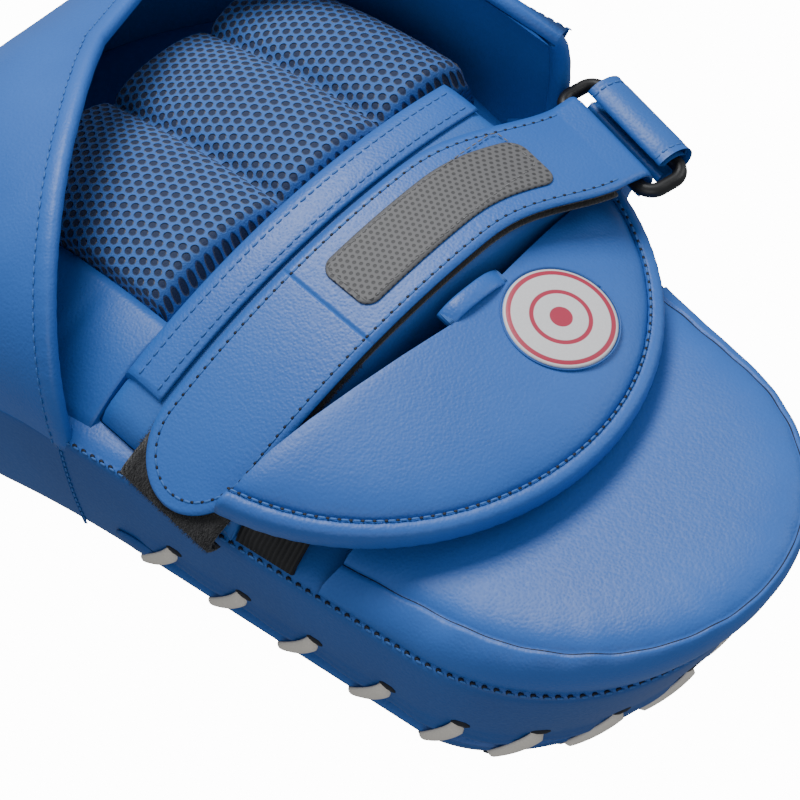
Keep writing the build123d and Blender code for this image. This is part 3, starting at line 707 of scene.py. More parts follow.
points, faces = [], []
for number in range(LACE_COUNT):
    rows = lace_stitch(number)
    base = len(points)
    points += [p for row in rows for p in row]
    faces += [tuple(base + q for q in f) for f in grid_faces(len(rows), 12, True, True)]
lace = piece("flat_lace", points, faces)
dress(lace, cotton, "pad", "lace_cotton", "side_lace")
spots = []
for number in range(LACE_COUNT):
    up = LACE_FIRST + LACE_PITCH * number + 7.4
    for s, h in ((up, 23.8), (up - 14.0, 6.6)):
        p, out = Vector(wall(s, h, -band_offset(s, h) - 0.02)), Vector(wall(s, h, -9)) - Vector(wall(s, h, 0))
        along = (Vector(wall(s + 1, h, 0)) - Vector(wall(s, h, 0))).normalized()
        spots.append((p, along, out.normalized()))
# Near-black beads at the lace holes: painted shade in the holes.
dress(beads("lace_holes", spots, (2.9, 2.0, 0.45)), hole_shade, "pad", "lining_leather")
# The slit's end tab takes the darker side leather: painted shade on the side wall.
tip = []
for i in range(9):
    k = i / 8
    tip.append([wall(-SLIT_REACH - 6 + 16 * k,
                     13.4 + 3.2 * math.cos(a) * math.sin(math.pi * (0.08 + 0.84 * k)) ** 0.5,
                     -1.6 - 1.2 * math.sin(a) * math.sin(math.pi * (0.08 + 0.84 * k)) ** 0.5)
                for a in [j * math.pi / 6 for j in range(12)]])
dress(grid("slit_end_tab", tip, around=True, capped=True), side_shade_blue, "pad", "shell_leather")
print("lace stitches", LACE_COUNT)

# %% [markdown]
# The heel wedge: a gusset that grows towards the wrist end and a puckered top panel.

# %% heel wedge
HEEL_START, HEEL_LOW, HEEL_HIGH = -76.0, 7.0, 21.0


def heel_height(y):
    return HEEL_LOW + (HEEL_HIGH - HEEL_LOW) * max(0.0, HEEL_START - y) / (HEEL_START + LENGTH / 2)


def heel_point(k, up, inset=0.0, lift=0.0, part=1.0):
    """A point of the wedge: k along its edge, up its side by a share, then in across its top."""
    reach = ARC_WRIST + (HEEL_START + 3 - (WRIST_Y - WRIST_R * math.sin(T0))) / math.cos(T0)
    s = -reach + 2 * reach * k
    x, y = plan(s, 1.5 + 7.5 * up + inset)
    tall = heel_height(y)
    x, y = x + 5.0 * up * tall / HEEL_HIGH, y - 13.0 * up * tall / HEEL_HIGH
    x, y = x * part, y + (HEEL_START - y) * (1 - part)
    return wrist(x, min(y, HEEL_START + 1) / COS, heel_height(y) * up + lift)


def pucker(k):
    return 0.8 * math.sin(k * 71) * math.sin(k * 23 + 1) + 0.5 * math.sin(k * 131 + 2)


rows = []
KS = [i / 200 for i in range(201)]
for up, out in ((-0.03, -0.5), (0.06, 0.5), (0.25, 1.5), (0.5, 2.3), (0.72, 2.2),
                (0.86, 1.5), (0.94, 0.6), (0.985, -0.3)):
    rows.append([heel_point(k, up, -out, 0.5 * pucker(k) * max(up, 0) ** 3) for k in KS])
for inset, lift in ((0.9, -0.9), (1.7, 0.1), (3.4, 1.2), (6.0, 2.1), (10.0, 2.8), (16.0, 3.2)):
    rows.append([heel_point(k, 1.0, inset, lift + 0.5 * pucker(k) * math.exp(-inset / 5)) for k in KS])
for part in (0.85, 0.65, 0.45, 0.25, 0.1, 0.0):
    rows.append([heel_point(k, 1.0, 16.0, 3.2 + 0.5 * (1 - part), part) for k in KS])
heel = grid("heel_cushion", rows)
dress(heel, blue, "pad", "shell_leather", "heel_foam", "heel_panel", "heel_side_band", fill=0.85)
# A thin near-black tube along the top panel's seam: painted shade in the seam crease.
heel_seam = [heel_point(k, 1.0, 0.75, -0.9 + 0.5 * pucker(k)) for k in KS]
dress(tube("heel_seam_shade_line", heel_seam, 0.7, 0.5), hole_shade, "pad", "lining_leather")
print("heel wedge done")

# %% [markdown]
# The wrist cushion is an arch under the strap. Its palm-side edge carries a double-stitched binding.

# %% wrist cushion
SEAT_R, SEAT_X, SEAT_Z = 195.0, 25.0, 40.0
STRAP_Y, SPREAD = -25.0, 19.0
TAPER_SIN, TAPER_COS = math.sin(T0), math.cos(T0)


def seat(x, offset=0.0):
    return SEAT_Z - SEAT_R + math.sqrt((SEAT_R + offset) ** 2 - (x - SEAT_X) ** 2)


def cushion_ring(x, low, high, drop):
    """Section of the cushion at x, round its edges."""
    top = seat(x) - drop
    out = []
    for y, z in ((high, 0), (high + 0.8, top * 0.4), (high + 0.4, top - 4),
                 (high - 1.2, top - 1.3), (high - 4, top - 0.2),
                 (high - 10, top + 0.1), (STRAP_Y + 8, top), (STRAP_Y - 8, top), (low + 5, top - 0.2),
                 (low + 1.5, top - 1.2), (low, top - 4), (low - 0.4, top * 0.4), (low, 0)):
        out.append(wrist(x, y, max(z, 0.0)))
    return out


xs = [-82 + 149 * i / 60 for i in range(61)]
rows = []
for x in xs:
    edge = min(x + 82, 67 - x)
    rows.append(cushion_ring(x, -44.6, 13.0, 0.25 + 3.5 * (1 - smooth(edge / 4.5)) ** 2))
cushion = grid("wrist_cushion", rows, around=True, capped=True)
dress(cushion, lining, "pad", "lining_leather", "wrist_cushion_cover", "wrist_cushion_foam", fill=0.85)
strip = []
for i in range(61):
    x = -70 + 135 * i / 60
    strip.append([wrist(x, y, seat(x, h)) for y, h in
                  ((-2.2, 0.1), (-2.4, 0.9), (-1.4, 1.3), (3, 1.5), (9, 1.4),
                   (12.2, 0.9), (13.5, -0.8), (13.4, -3.0), (12.4, -3.0),
                   (5, -0.2))])
dress(grid("palm_binding", strip, around=True, capped=True),
      strap_blue, "pad", "lining_leather", "palm_edge_binding")
for row, y in enumerate((0.4, 8.6)):
    line = [wrist(-69 + 133 * i / 60, y, seat(-69 + 133 * i / 60, 1.52)) for i in range(61)]
    dress(stitches(f"palm_binding_thread_{row}", line, lambda p: (0, -0.1, 1), 3.4, 2.4, 0.42),
          blue_thread, "pad", "lining_leather")
print("cushion done")

# %% [markdown]
# The strap. Its lower run is black pile from the left anchor towards the ring. The upper run
# goes over the ring, back along the top, and ends in a round leather tip.

# %% strap shapes
PILE_TOP, TAB_LOW = 2.6, 2.9
LEATHER_LOW, TAB_TOP = 4.2, 5.6
RING_X, RING_Y, SPACING, WIRE = 98.5, -41.0, 15.0, 2.3
FOLD_IN = WIRE + 0.3
FOLD_OUT = FOLD_IN + 2.7


def by_ring(x, y):
    return (RING_X + x * TAPER_COS + y * TAPER_SIN, RING_Y - x * TAPER_SIN + y * TAPER_COS)


TAB_START = by_ring(-SPACING - FOLD_OUT, 0)[0]
BAR_RISE = seat(TAB_START, TAB_LOW) - FOLD_IN


def ring_point(x, y, z):
    px, py = by_ring(x, y)
    return wrist(px, py, BAR_RISE + z)


def strap_section(x, low, high, base, top, n=15):
    """Closed section of the strap at x: a thin slab with round edges, bent by the strap's turn."""
    end_x = by_ring(-SPACING - FOLD_OUT, 0)[0]
    k = smooth((x - 24) / (end_x - 24)) if x > 24 else 0.0
    turn = T0 * k
    shift = (by_ring(-SPACING - FOLD_OUT, 0)[1] - STRAP_Y) * k ** 1.4
    out = []
    half = (high - low) / 2
    middle = (high + low) / 2 + shift
    thick = (top - base) / 2
    for j in range(n):
        e = -1 + 2 * j / (n - 1)
        v = half * math.copysign(abs(e) ** 0.85, e)
        round_ = 1 - 0.55 * smooth((abs(v) - half + 1.2) / 1.2)
        out.append((x + v * math.sin(turn), middle + v * math.cos(turn), (base + top) / 2 + thick * round_))
    for j in reversed(range(n)):
        e = -1 + 2 * j / (n - 1)
        v = half * math.copysign(abs(e) ** 0.85, e)
        round_ = 1 - 0.55 * smooth((abs(v) - half + 1.2) / 1.2)
        out.append((x + v * math.sin(turn), middle + v * math.cos(turn), (base + top) / 2 - thick * round_))
    return [wrist(px, py, seat(px, 0) + h) for px, py, h in out]


rows = []
count = 90
end = TAB_START - 4
for i in range(count + 1):
    x = -82 + (end + 82) * i / count
    rows.append(strap_section(x, STRAP_Y - SPREAD, STRAP_Y + SPREAD, 0.4, PILE_TOP))
for i in range(9):
    k = i / 8
    rows.insert(0, [wrist(p[0], p[1], p[2]) for p in [
        (-82.2 - 8.5 * math.sin(k * math.pi * 0.8) + t, y, (seat(-82, 2.4) - 1.2) * (1 - k) + 0.2 - t * 0.2)
        for t, y in [(0.0, STRAP_Y - SPREAD + 2 * SPREAD * j / 14) for j in range(15)]
        + [(1.9, STRAP_Y + SPREAD - 2 * SPREAD * j / 14) for j in range(15)]]])
lower = grid("strap_pile_run", rows, around=True, capped=True)
dress(lower, black_pile, "pad", "pile", "strap_lower_run", fill=0.7)

# %% pile fringe
points, faces = [], []
for i in range(1800):
    y = STRAP_Y - SPREAD + 2 * SPREAD * rng.random()
    k = rng.random()
    base = Vector(wrist(-82 - 8.4 * math.sin((1 - k) * math.pi * 0.8), y, 1.0 + k * (seat(-82, 2) - 1.5)))
    lean = Vector((-1, rng.uniform(-0.7, 0.7), rng.uniform(-0.9, 0.5))).normalized() * rng.uniform(0.8, 2.1)
    side = lean.cross(Vector((0, 0, 1))).normalized() * 0.09
    number = len(points)
    points += [tuple(base - side), tuple(base + side), tuple(base + lean)]
    faces.append((number, number + 1, number + 2))
for edge_y in (STRAP_Y - SPREAD, STRAP_Y + SPREAD):
    for i in range(700):
        x = -82 + 55 * rng.random()
        base = Vector(wrist(x, edge_y, seat(x, 0.6 + 1.8 * rng.random())))
        away = 1 if edge_y > STRAP_Y else -1
        lean = Vector((rng.uniform(-0.6, 0.6), away,
                       rng.uniform(-0.6, 0.4))).normalized() * rng.uniform(0.5, 1.5)
        side = lean.cross(Vector((0, 0, 1))).normalized() * 0.08
        number = len(points)
        points += [tuple(base - side), tuple(base + side), tuple(base + lean)]
        faces.append((number, number + 1, number + 2))
dress(piece("pile_fringe", points, faces), black_pile, "pad", "pile")
print("fringe fibres", len(faces))

# %% upper strap
rows = []
start = -22.1
for i in range(81):
    x = start + (TAB_START - start) * i / 80
    rows.append(strap_section(x, STRAP_Y - SPREAD, STRAP_Y + SPREAD, LEATHER_LOW, TAB_TOP))
for i in range(1, 15):
    a = math.pi * i / 14
    ring = []
    for low, ys in ((False, range(15)), (True, reversed(range(15)))):
        for j in ys:
            e = -1 + 2 * j / 14
            v = SPREAD * math.copysign(abs(e) ** 0.85, e)
            soft = 0.35 * smooth((abs(v) - SPREAD + 1.2) / 1.2)
            r = FOLD_OUT - 1.5 + soft if low else FOLD_OUT - soft
            ring.append(ring_point(-SPACING + r * math.sin(a), v, r * math.cos(a)))
    rows.append(ring)
base_strap = grid("strap_upper", rows, around=True, capped=True)
dress(base_strap, strap_blue, "strap_main", "strap_leather", "strap_base", fill=0.8)
rows = []
for i in range(61):
    x = start + (TAB_START - 1 - start) * i / 60
    rows.append(strap_section(x, STRAP_Y - SPREAD + 0.6, STRAP_Y + SPREAD - 0.6,
                              TAB_LOW + 0.05, LEATHER_LOW + 0.1))
dress(grid("strap_upper_pile", rows, around=True, capped=True),
      black_pile, "strap_main", "pile", "strap_base_pile")


def tip_half(x):
    """Half width of the strap's round tip at x."""
    centre = -90 + SPREAD
    return SPREAD if x > centre else math.sqrt(max(SPREAD ** 2 - (x - centre) ** 2, 0.0))


rows = []
xs = [-90 + 19 * (1 - math.cos(i / 20 * math.pi / 2)) for i in range(1, 21)]
xs += [-71 + 49.15 * i / 40 for i in range(1, 41)]
for x in xs:
    h = tip_half(x)
    rows.append(strap_section(x, STRAP_Y - h, STRAP_Y + h, LEATHER_LOW, TAB_TOP))
tip_piece = grid("strap_tip_leather", rows, around=True, capped=True)
dress(tip_piece, strap_blue, "strap_end", "strap_leather", "strap_tip", fill=0.8)
rows = []
for x in [x for x in xs if x > -79]:
    h = tip_half(x) - 2.2
    rows.append(strap_section(x, STRAP_Y - h, STRAP_Y + h, TAB_LOW + 0.05, LEATHER_LOW + 0.1))
dress(grid("hook_tape", rows, around=True, capped=True), hook, "strap_end", "hook_tape", "hook_patch")

# %% strap stitching
def strap_line(offset, x0, x1, n=120):
    out = []
    end_x = by_ring(-SPACING - FOLD_OUT, 0)[0]
    for i in range(n + 1):
        x = x0 + (x1 - x0) * i / n
        k = smooth((x - 24) / (end_x - 24)) if x > 24 else 0.0
        shift = (by_ring(-SPACING - FOLD_OUT, 0)[1] - STRAP_Y) * k ** 1.4
        px = x + offset * math.sin(T0 * k)
        out.append(wrist(px, STRAP_Y + shift + offset * math.cos(T0 * k), seat(px, 0) + TAB_TOP + 0.02))
    return out


def strap_up(p):
    return ((p[0] - SEAT_X) / SEAT_R, -SIN, COS)


INNER = SPREAD - 3.0
for sign in (-1, 1):
    line = strap_line(sign * INNER, start + 0.6, TAB_START - 2)
    name = "low" if sign < 0 else "high"
    dress(stitches("strap_thread_" + name, line, strap_up, 3.4, 2.5, 0.45),
          blue_thread, "strap_main", "strap_leather")
    dress(holes("strap_holes_" + name, line, strap_up, 3.4, 0.5), hole_shade, "strap_main", "strap_leather")
loop = []
for i in range(41):
    x = start - 0.8 - (start - 0.8 + 71) * i / 40
    loop.append((x, STRAP_Y - INNER))
for i in range(1, 32):
    a = math.pi * i / 32
    loop.append((-71 - INNER * math.sin(a), STRAP_Y - INNER * math.cos(a)))
for i in range(41):
    loop.append((-71 + (start - 0.8 + 71) * i / 40, STRAP_Y + INNER))
loop = [wrist(x, y, seat(x, 0) + TAB_TOP + 0.02) for x, y in loop]
dress(stitches("tip_thread", loop, strap_up, 3.4, 2.5, 0.45), blue_thread, "strap_end", "strap_leather")
dress(holes("tip_holes", loop, strap_up, 3.4, 0.5), hole_shade, "strap_end", "strap_leather")

# %% strap label
def label_half(x):
    """Half width of the label at x from its middle; its corners are round."""
    past = abs(x) - 32.7
    return 10.5 if past < 0 else 5.7 + math.sqrt(max(4.8 ** 2 - past ** 2, 0.0))


rows, maps = [], []
for i in range(81):
    x = 37.45 * math.sin(math.pi / 2 * (-1 + 2 * i / 80))
    h = label_half(x)
    rows.append(strap_section(22 + x, STRAP_Y - h, STRAP_Y + h, 5.5, 6.5))
    across = [h * math.copysign(abs(-1 + j / 7) ** 0.85, -1 + j / 7) for j in range(15)]
    maps.append([(x, v) for v in across + across[::-1]])
dress(grid("strap_label_skin", rows, around=True, capped=True, uv=maps),
      label_skin, "strap_main", "label_print", "strap_label")
rim = [(36 * math.sin(math.pi / 2 * (-1 + 2 * i / 40)), 1) for i in range(41)]
rim = [(x, label_half(x) - 1.4) for x, _ in rim] + [(x, 1.4 - label_half(x)) for x, _ in rim[::-1]]
rim_line = [wrist(22 + x, STRAP_Y + v, seat(22 + x, 0) + 6.5) for x, v in rim + rim[:1]]
dress(stitches("label_thread", rim_line, strap_up, 2.6, 1.9, 0.3), foam_grey, "strap_main", "strap_leather")
print("strap done")

# %% [markdown]
# The ring is the frame's own steel part. A leather sleeve holds its outer bar, with a tail
# sewn down to the body.

# %% ring and anchor
nodes = frame["nodes"]
nodes["strap_ring"].data.materials.clear()
nodes["strap_ring"].data.materials.append(ring_paint)


def sleeve_ring(v, inner):
    """Section of the sleeve at v along the ring's bar: round the bar, then down to the body."""
    r, wide, shift = (3.4, 5.2, -1.2) if inner else (6.3, 7.8, -1.5)
    squeeze = 0.0 if inner else 0.4 * math.exp(-((abs(v) - 15.4) / 1.0) ** 2)
    out = []
    for j in range(22):
        a = math.radians(-140 + 280 * j / 21)
        out.append(ring_point(shift + (wide - squeeze) * math.cos(a), v, (r - squeeze) * math.sin(a)))
    return out


rows = []
vs = [-18 + 36 * i / 24 for i in range(25)]
for v in vs:
    outer, inner = sleeve_ring(v, False), sleeve_ring(v, True)
    rows.append(outer + inner[::-1])
sleeve = grid("ring_sleeve", rows, around=True, capped=False)
dress(sleeve, lining, "pad", "lining_leather", "ring_anchor", fill=0.8)
rows = []
for v in [-5.5 + 23.3 * i / 14 for i in range(15)]:
    top_a, top_b = ring_point(5.0, v, -3.2), ring_point(-4.6, v, -4.2)
    py = by_ring(0, v)[1]
    edge = WRIST_R * TAPER_COS + (py - (WRIST_Y - WRIST_R * TAPER_SIN)) * math.tan(T0) - 1.0
    base_a, base_b = wrist(edge, py, 0.2), wrist(edge - 4.6, py, 0.2)
    side = []
    for k in (0, 0.25, 0.5, 0.75, 1.0):
        side.append(tuple(a + (b - a) * k for a, b in zip(top_a, base_a)))
    for k in (1.0, 0.75, 0.5, 0.25, 0):
        side.append(tuple(a + (b - a) * k for a, b in zip(top_b, base_b)))
    rows.append(side)
dress(grid("anchor_tail", rows, around=True, capped=True), lining, "pad", "lining_leather")
for number, v in enumerate((-15.4, 15.4)):
    turns = [math.radians(-95 + 230 * i / 24) for i in range(25)]
    line = [ring_point(-1.5 + 7.5 * math.cos(a), v, 6.05 * math.sin(a)) for a in turns]
    axis = Vector(ring_point(-1, v, 0))
    dress(stitches(f"sleeve_thread_{number}", line, lambda p, c=axis: Vector(p) - c, 2.8, 2.1, 0.5),
          blue_thread, "pad", "lining_leather")
print("ring and anchor done")

# %% [markdown]
# The flap: a puffed half-moon on a straight hinge, edged with a bound tube.

# %% flap
HINGE, FLAP_A, FLAP_B, FLAP_Y, FLAP_TURN = -46.4, 90.0, 92.0, -20.0, math.radians(6)
FLAP_X, FLAP_Z, FLAP_R, DROOP = -15.0, 37.0, 300.0, math.radians(8)


def flap_edge(k, inset=0.0):
    """The flap's free edge, k from 0 at the left end of the hinge to 1 at the right end."""
    a, b = FLAP_A - inset, FLAP_B - inset

    def at(turn):
        x, y = a * math.cos(turn), b * math.sin(turn)
        return (x * math.cos(FLAP_TURN) - y * math.sin(FLAP_TURN),
                FLAP_Y + x * math.sin(FLAP_TURN) + y * math.cos(FLAP_TURN))

    def cut(low, high):
        for _ in range(40):
            middle = (low + high) / 2
            if at(middle)[1] > HINGE:
                low = middle
            else:
                high = middle
        return low

    first, last = cut(math.pi, 1.5 * math.pi), cut(2 * math.pi, 1.5 * math.pi)
    return at(first + (last - first) * k)


def flap_point(x, y, h):
    """A point of the flap at height h from its top layer."""
    z = FLAP_Z - FLAP_R + math.sqrt((FLAP_R + h) ** 2 - (x - FLAP_X) ** 2)
    dy, dz = y - HINGE, z - FLAP_Z
    return wrist(x, HINGE + dy * math.cos(DROOP) - dz * math.sin(DROOP),
                 FLAP_Z + dy * math.sin(DROOP) + dz * math.cos(DROOP))


FK = [i / 150 for i in range(151)]
MID = (2.0, HINGE - 8.0)


def flap_ring(inset, part, h):
    out = []
    for k in FK:
        x, y = flap_edge(k, inset)
        x, y = MID[0] + (x - MID[0]) * part, MID[1] + (y - MID[1]) * part
        y = min(y, HINGE - 0.4)
        dent = 0.4 * math.sin(k * 57) * math.sin(k * 19 + 0.7) * math.exp(-(inset - 5) / 2.5)
        soft = 1.6 * math.exp(-((HINGE - y) / 3.0))
        out.append(flap_point(x, y, h + dent * (1 if h > -5 else 0) - (soft if h > -5 else 0)))
    return out


rows = [flap_ring(5.4, 1.0, -2.2), flap_ring(5.9, 1.0, -0.9), flap_ring(7.4, 1.0, 0.1),
        flap_ring(10, 1.0, 1.0),
        flap_ring(14, 1.0, 1.7), flap_ring(20, 1.0, 2.2), flap_ring(20, 0.8, 2.5), flap_ring(20, 0.55, 2.7),
        flap_ring(20, 0.3, 2.8), flap_ring(20, 0.0, 2.8)]
top = grid("flap_puff", rows)
under = [flap_ring(5.4, 1.0, -2.2), flap_ring(5.2, 1.0, -5.0), flap_ring(5.6, 1.0, -8.4),
         flap_ring(8, 1.0, -9.4),
         flap_ring(16, 1.0, -9.9), flap_ring(20, 0.7, -10.0),
         flap_ring(20, 0.35, -10.0), flap_ring(20, 0.0, -10.0)]
lower_face = grid("flap_under", under)
dress(top, blue, "flap", "shell_leather", "flap_cover", "flap_foam", fill=0.9)
dress(lower_face, lining, "flap", "lining_leather", "flap_underside", fill=0.8)
rows = []
for k in FK:
    x0, y0 = flap_edge(k, 2.9)
    x1, y1 = flap_edge(k, 0.0)
    nx, ny = (x1 - x0) / 2.9, (y1 - y0) / 2.9
    ring = []
    for j in range(16):
        a = j * math.pi / 8
        c, q = math.cos(a), math.sin(a)
        w = 3.05 * math.copysign(abs(c) ** 0.7, c)
        t = 4.9 * math.copysign(abs(q) ** 0.75, q)
        crimp = 0.18 * math.sin(k * 260) * (1 if c < 0 else 0.4)
        ring.append(flap_point(x0 + nx * (w + crimp), y0 + ny * (w + crimp), -4.9 + t))
    rows.append(ring)
dress(grid("flap_edge_binding", rows, around=True, capped=True),
      blue, "flap", "shell_leather", "flap_binding", fill=0.9)
line = [flap_point(*flap_edge(k, 5.0), 0.05) for k in FK]
dress(stitches("flap_edge_thread", line, lambda p: (0, -0.1, 1), 3.3, 2.4, 0.42),
      blue_thread, "flap", "shell_leather")
dress(holes("flap_edge_holes", line, lambda p: (0, -0.1, 1), 3.3, 0.5), hole_shade, "flap", "lining_leather")
bx, by = 27.0, -73.5
rows, maps = [], []
for r, h in ((17.6, 1.9), (17.6, 2.9), (17.0, 3.25), (15.0, 3.35),
             (11, 3.4), (7, 3.42), (3, 3.44), (0.0, 3.44)):
    turns = [2 * math.pi * j / 72 for j in range(72)]
    rows.append([flap_point(bx + r * math.cos(a), by + r * math.sin(a), h) for a in turns])
    maps.append([(r * math.cos(a), r * math.sin(a)) for a in turns])
dress(grid("flap_badge_skin", rows, around=True, uv=maps), badge_skin, "flap", "badge_print", "flap_badge")
# The groove round the badge is a tube in the darker leather: painted shade in the groove.
line = [flap_point(bx + 18.2 * math.cos(2 * math.pi * j / 72),
                   by + 18.2 * math.sin(2 * math.pi * j / 72), 2.75)
        for j in range(73)]
dress(tube("badge_groove", line, 0.8, 0.5), side_shade_blue, "flap", "shell_leather")

# %% hang loop
rows = []
for i in range(31):
    k = -1 + 2 * i / 30
    x, rise = 12 + 12.5 * k, 3.6 * (1 - abs(k) ** 3.2)
    ring = []
    for j in range(12):
        a = j * math.pi / 6
        v, t = 3.1 * math.copysign(abs(math.cos(a)) ** 0.6, math.cos(a)), 0.75 * math.sin(a)
        ring.append(flap_point(x, -51.6 + v, 1.0 + rise + t))
    rows.append(ring)
dress(grid("hang_loop_strap", rows, around=True, capped=True),
      strap_blue, "flap", "strap_leather", "hang_loop", fill=0.8)
places = []
for x in (1.0, 23.0):
    for i in range(6):
        places.append((Vector(flap_point(x + 0.42 * (i - 2.5), -51.6, 2.45)),
                       Vector((0.1, 1, 0.1)), Vector((0, 0, 1))))
dress(beads("loop_bartacks", places, (2.6, 0.3, 0.4)), blue_thread, "flap", "strap_leather")
print("flap done")

# %% [markdown]
# Black elastic webbing joins the left end of the flap's hinge to the body seam.

# %% elastic
rows, maps = [], []
for i in range(25):
    k = i / 24
    y = -46 - 20 * k
    bulge = 1.2 * math.sin(k * math.pi)
    edge = -(WRIST_R * TAPER_COS + (y - (WRIST_Y - WRIST_R * TAPER_SIN)) * math.tan(T0)) + 1.5
    path = [(edge, 0.3), (edge + 1.5, 3.5), (edge + 6 - bulge * 0.3, 9.0),
            (edge + 11, 14.0), (edge + 16, 17.6)]
    outer = [wrist(x, y, z + 0.8) for x, z in path]
    inner = [wrist(x + 1.1, y, z - 0.5) for x, z in path]
    rows.append(outer + inner[::-1])
    maps.append([(y, 6 * j) for j in range(10)])
dress(grid("elastic_web", rows, around=True, capped=True, uv=maps),
      web, "pad", "elastic_web", "flap_elastic", fill=0.6)

# %% [markdown]
# The palm rest: three fat ribs in holed air mesh, with a leather panel beside them.

# %% palm ribs
RIBS, RIB_BASE, RIB_CROWN, LAP = (-46.0, 4.0, 48.0, 82.0), 20.0, 9.5, 7.0


def rib_height(x):
    best = 0.0
    for left, right in zip(RIBS, RIBS[1:]):
        half = (right - left + LAP) / 2
        e = (x - (left + right) / 2) / half
        if abs(e) < 1:
            best = max(best, RIB_CROWN * (1 - abs(e) ** 2.3) ** 0.62)
    valley = sum(math.exp(-((x - v) / 1.6) ** 2) for v in RIBS[1:-1])
    return RIB_BASE + best - 1.6 * valley


def rib_profile():
    left, right = RIBS[0] - LAP / 2, RIBS[-1] + LAP / 2
    out = [(left, 0.0), (left - 0.3, 8.0), (left, 15.0), (left + 0.8, 18.6)]
    n = 110
    for i in range(1, n):
        x = left + (right - left) * i / n
        out.append((x, rib_height(x)))
    return out + [(right - 0.8, 18.6), (right, 15.0), (right + 0.3, 8.0), (right, 0.0)]


profile = rib_profile()
lengths = [0.0]
for a, b in zip(profile, profile[1:]):
    lengths.append(lengths[-1] + math.hypot(b[0] - a[0], b[1] - a[1]))


def on_back(x, y, h):
    """A point h above the back panel, square to it."""
    slope = -(back_z(y + 0.5) - back_z(y - 0.5))
    size = math.hypot(1, slope)
    return (x, y + h * slope / size, back_z(y) + h / size)


rows, maps = [], []
for i in range(71):
    y = 17.3 + 88.7 * i / 70
    near = min(i, 70 - i)
    squeeze = 1 - 0.35 * (1 - smooth(near / 5)) ** 2
    rows.append([on_back(x, y, h * squeeze if h > 2 else h) for x, h in profile])
    maps.append([(u, y) for u in lengths])
ribs = grid("palm_rib_mesh", rows, around=True, capped=True, uv=maps)
dress(ribs, mesh_cloth, "pad", "air_mesh", "palm_mesh", "palm_foam", fill=0.85)
rows = []
for i in range(61):
    y = 14 + 92 * i / 60
    fold = (0.9 * math.exp(-((y - 40) / 3.0) ** 2) + 0.7 * math.exp(-((y - 63) / 3.5) ** 2)
            + 0.5 * math.exp(-((y - 84) / 3) ** 2))
    edge = WRIST_R * TAPER_COS + (y - (WRIST_Y - WRIST_R * TAPER_SIN)) * math.tan(T0)
    edge = 8 - min(edge, math.sqrt(FINGER_R ** 2 - max(0.0, y - FINGER_Y) ** 2)
                   if y > FINGER_Y - 17 else edge)
    left = RIBS[0] - LAP / 2 - 0.4
    ring = []
    for j in range(13):
        k = j / 12
        x = left + (edge - left) * k
        belly = (2.4 * math.sin(math.pi * k)
                 - fold * math.sin(math.pi * k) * (0.6 + 0.4 * math.sin(9 * k + y / 9)))
        ring.append(on_back(x, y, 18.0 + (1.4 - 18.0) * k ** 1.15 + belly))
    ring.append(on_back(edge, y, 0.1))
    ring.append(on_back(left, y, 0.1))
    rows.append(ring)
dress(grid("palm_side_panel", rows, around=True, capped=True),
      lining, "pad", "lining_leather", "palm_side_pad", fill=0.8)
print("palm done")

# %% [markdown]
# The finger hood: an arched shell over the back, cut on a curve and bound all round its edge.

# %% hood shape
HOOD_RISE, HOOD_MOST, BULGE, SINK = 64.0, 101.6, 12.5, 4.8
EDGE_XY = ((-104, 9), (-93, 16.5), (-83, 24.6), (-62, 41.8), (-33, 66),
           (-4, 90), (22, 108), (52, 106), (80, 82), (90, 44), (93, -17))
SHARES = ((-17, 0.96), (15, 1.0), (75, 1.0), (118, 0.9), (152, 0.6), (164, 0.42), (170, 0.22), (172, 0.02))


def spline(points, x):
    """Smooth value through (x, y) points."""
    if x <= points[0][0]:
        return points[0][1]
    for i in range(len(points) - 1):
        (x0, y0), (x1, y1) = points[i], points[i + 1]
        if x <= x1:
            before = points[max(i - 1, 0)]
            after = points[min(i + 2, len(points) - 1)]
            m0 = (y1 - before[1]) / max(x1 - before[0], 1e-6)
            m1 = (after[1] - y0) / max(after[0] - x0, 1e-6)
            w, k = x1 - x0, (x - x0) / (x1 - x0)
            return ((2 * k ** 3 - 3 * k ** 2 + 1) * y0 + (k ** 3 - 2 * k ** 2 + k) * w * m0
                    + (3 * k ** 2 - 2 * k ** 3) * y1 + (k ** 3 - k ** 2) * w * m1)
    return points[-1][1]


def hood_point(y, turn, inset=0.0):
    """A point of the hood's arch; turn is 0 at the thumb side and 180 at the little finger's."""
    y = min(y, 171.9)
    share = spline(SHARES, y)
    if y < FINGER_Y:
        width = WRIST_R * TAPER_COS + (y - (WRIST_Y - WRIST_R * TAPER_SIN)) * math.tan(T0)
    else:
        width = math.sqrt(FINGER_R ** 2 - (y - FINGER_Y) ** 2)
    width = min(width, FINGER_R)
    if FINGER_Y - FINGER_R * TAPER_SIN < y < FINGER_Y:
        width = math.sqrt(FINGER_R ** 2 - (y - FINGER_Y) ** 2)
    width -= inset
    lean = max(0.0, min(BULGE, HOOD_MOST - inset - width)) * (1 - smooth((y - 60) / 60))
    rise = max(HOOD_RISE * share - inset, 0.3) + SINK
    c, up = math.cos(math.radians(turn)), max(math.sin(math.radians(turn)), 0.0)
    z = up ** (2 / (7.5 if c > 0 else 2.3))
    if c > 0:
        x = (width + lean * z * (2 - z)) * c ** (2 / 7.5)
    else:
        x = -width * abs(c) ** (2 / 2.3)
    return (x, y, back_z(y) - SINK + z * rise)


def hood_start(turn, grow=0.0):
    """How far along the pad the hood starts at this turn."""
    low, high = -18.0, 150.0
    for _ in range(26):
        y = (low + high) / 2
        x = hood_point(y, turn)[0]
        if y < (spline(EDGE_XY, x) if x < 93 else -17.0):
            low = y
        else:
            high = y
    return high + grow


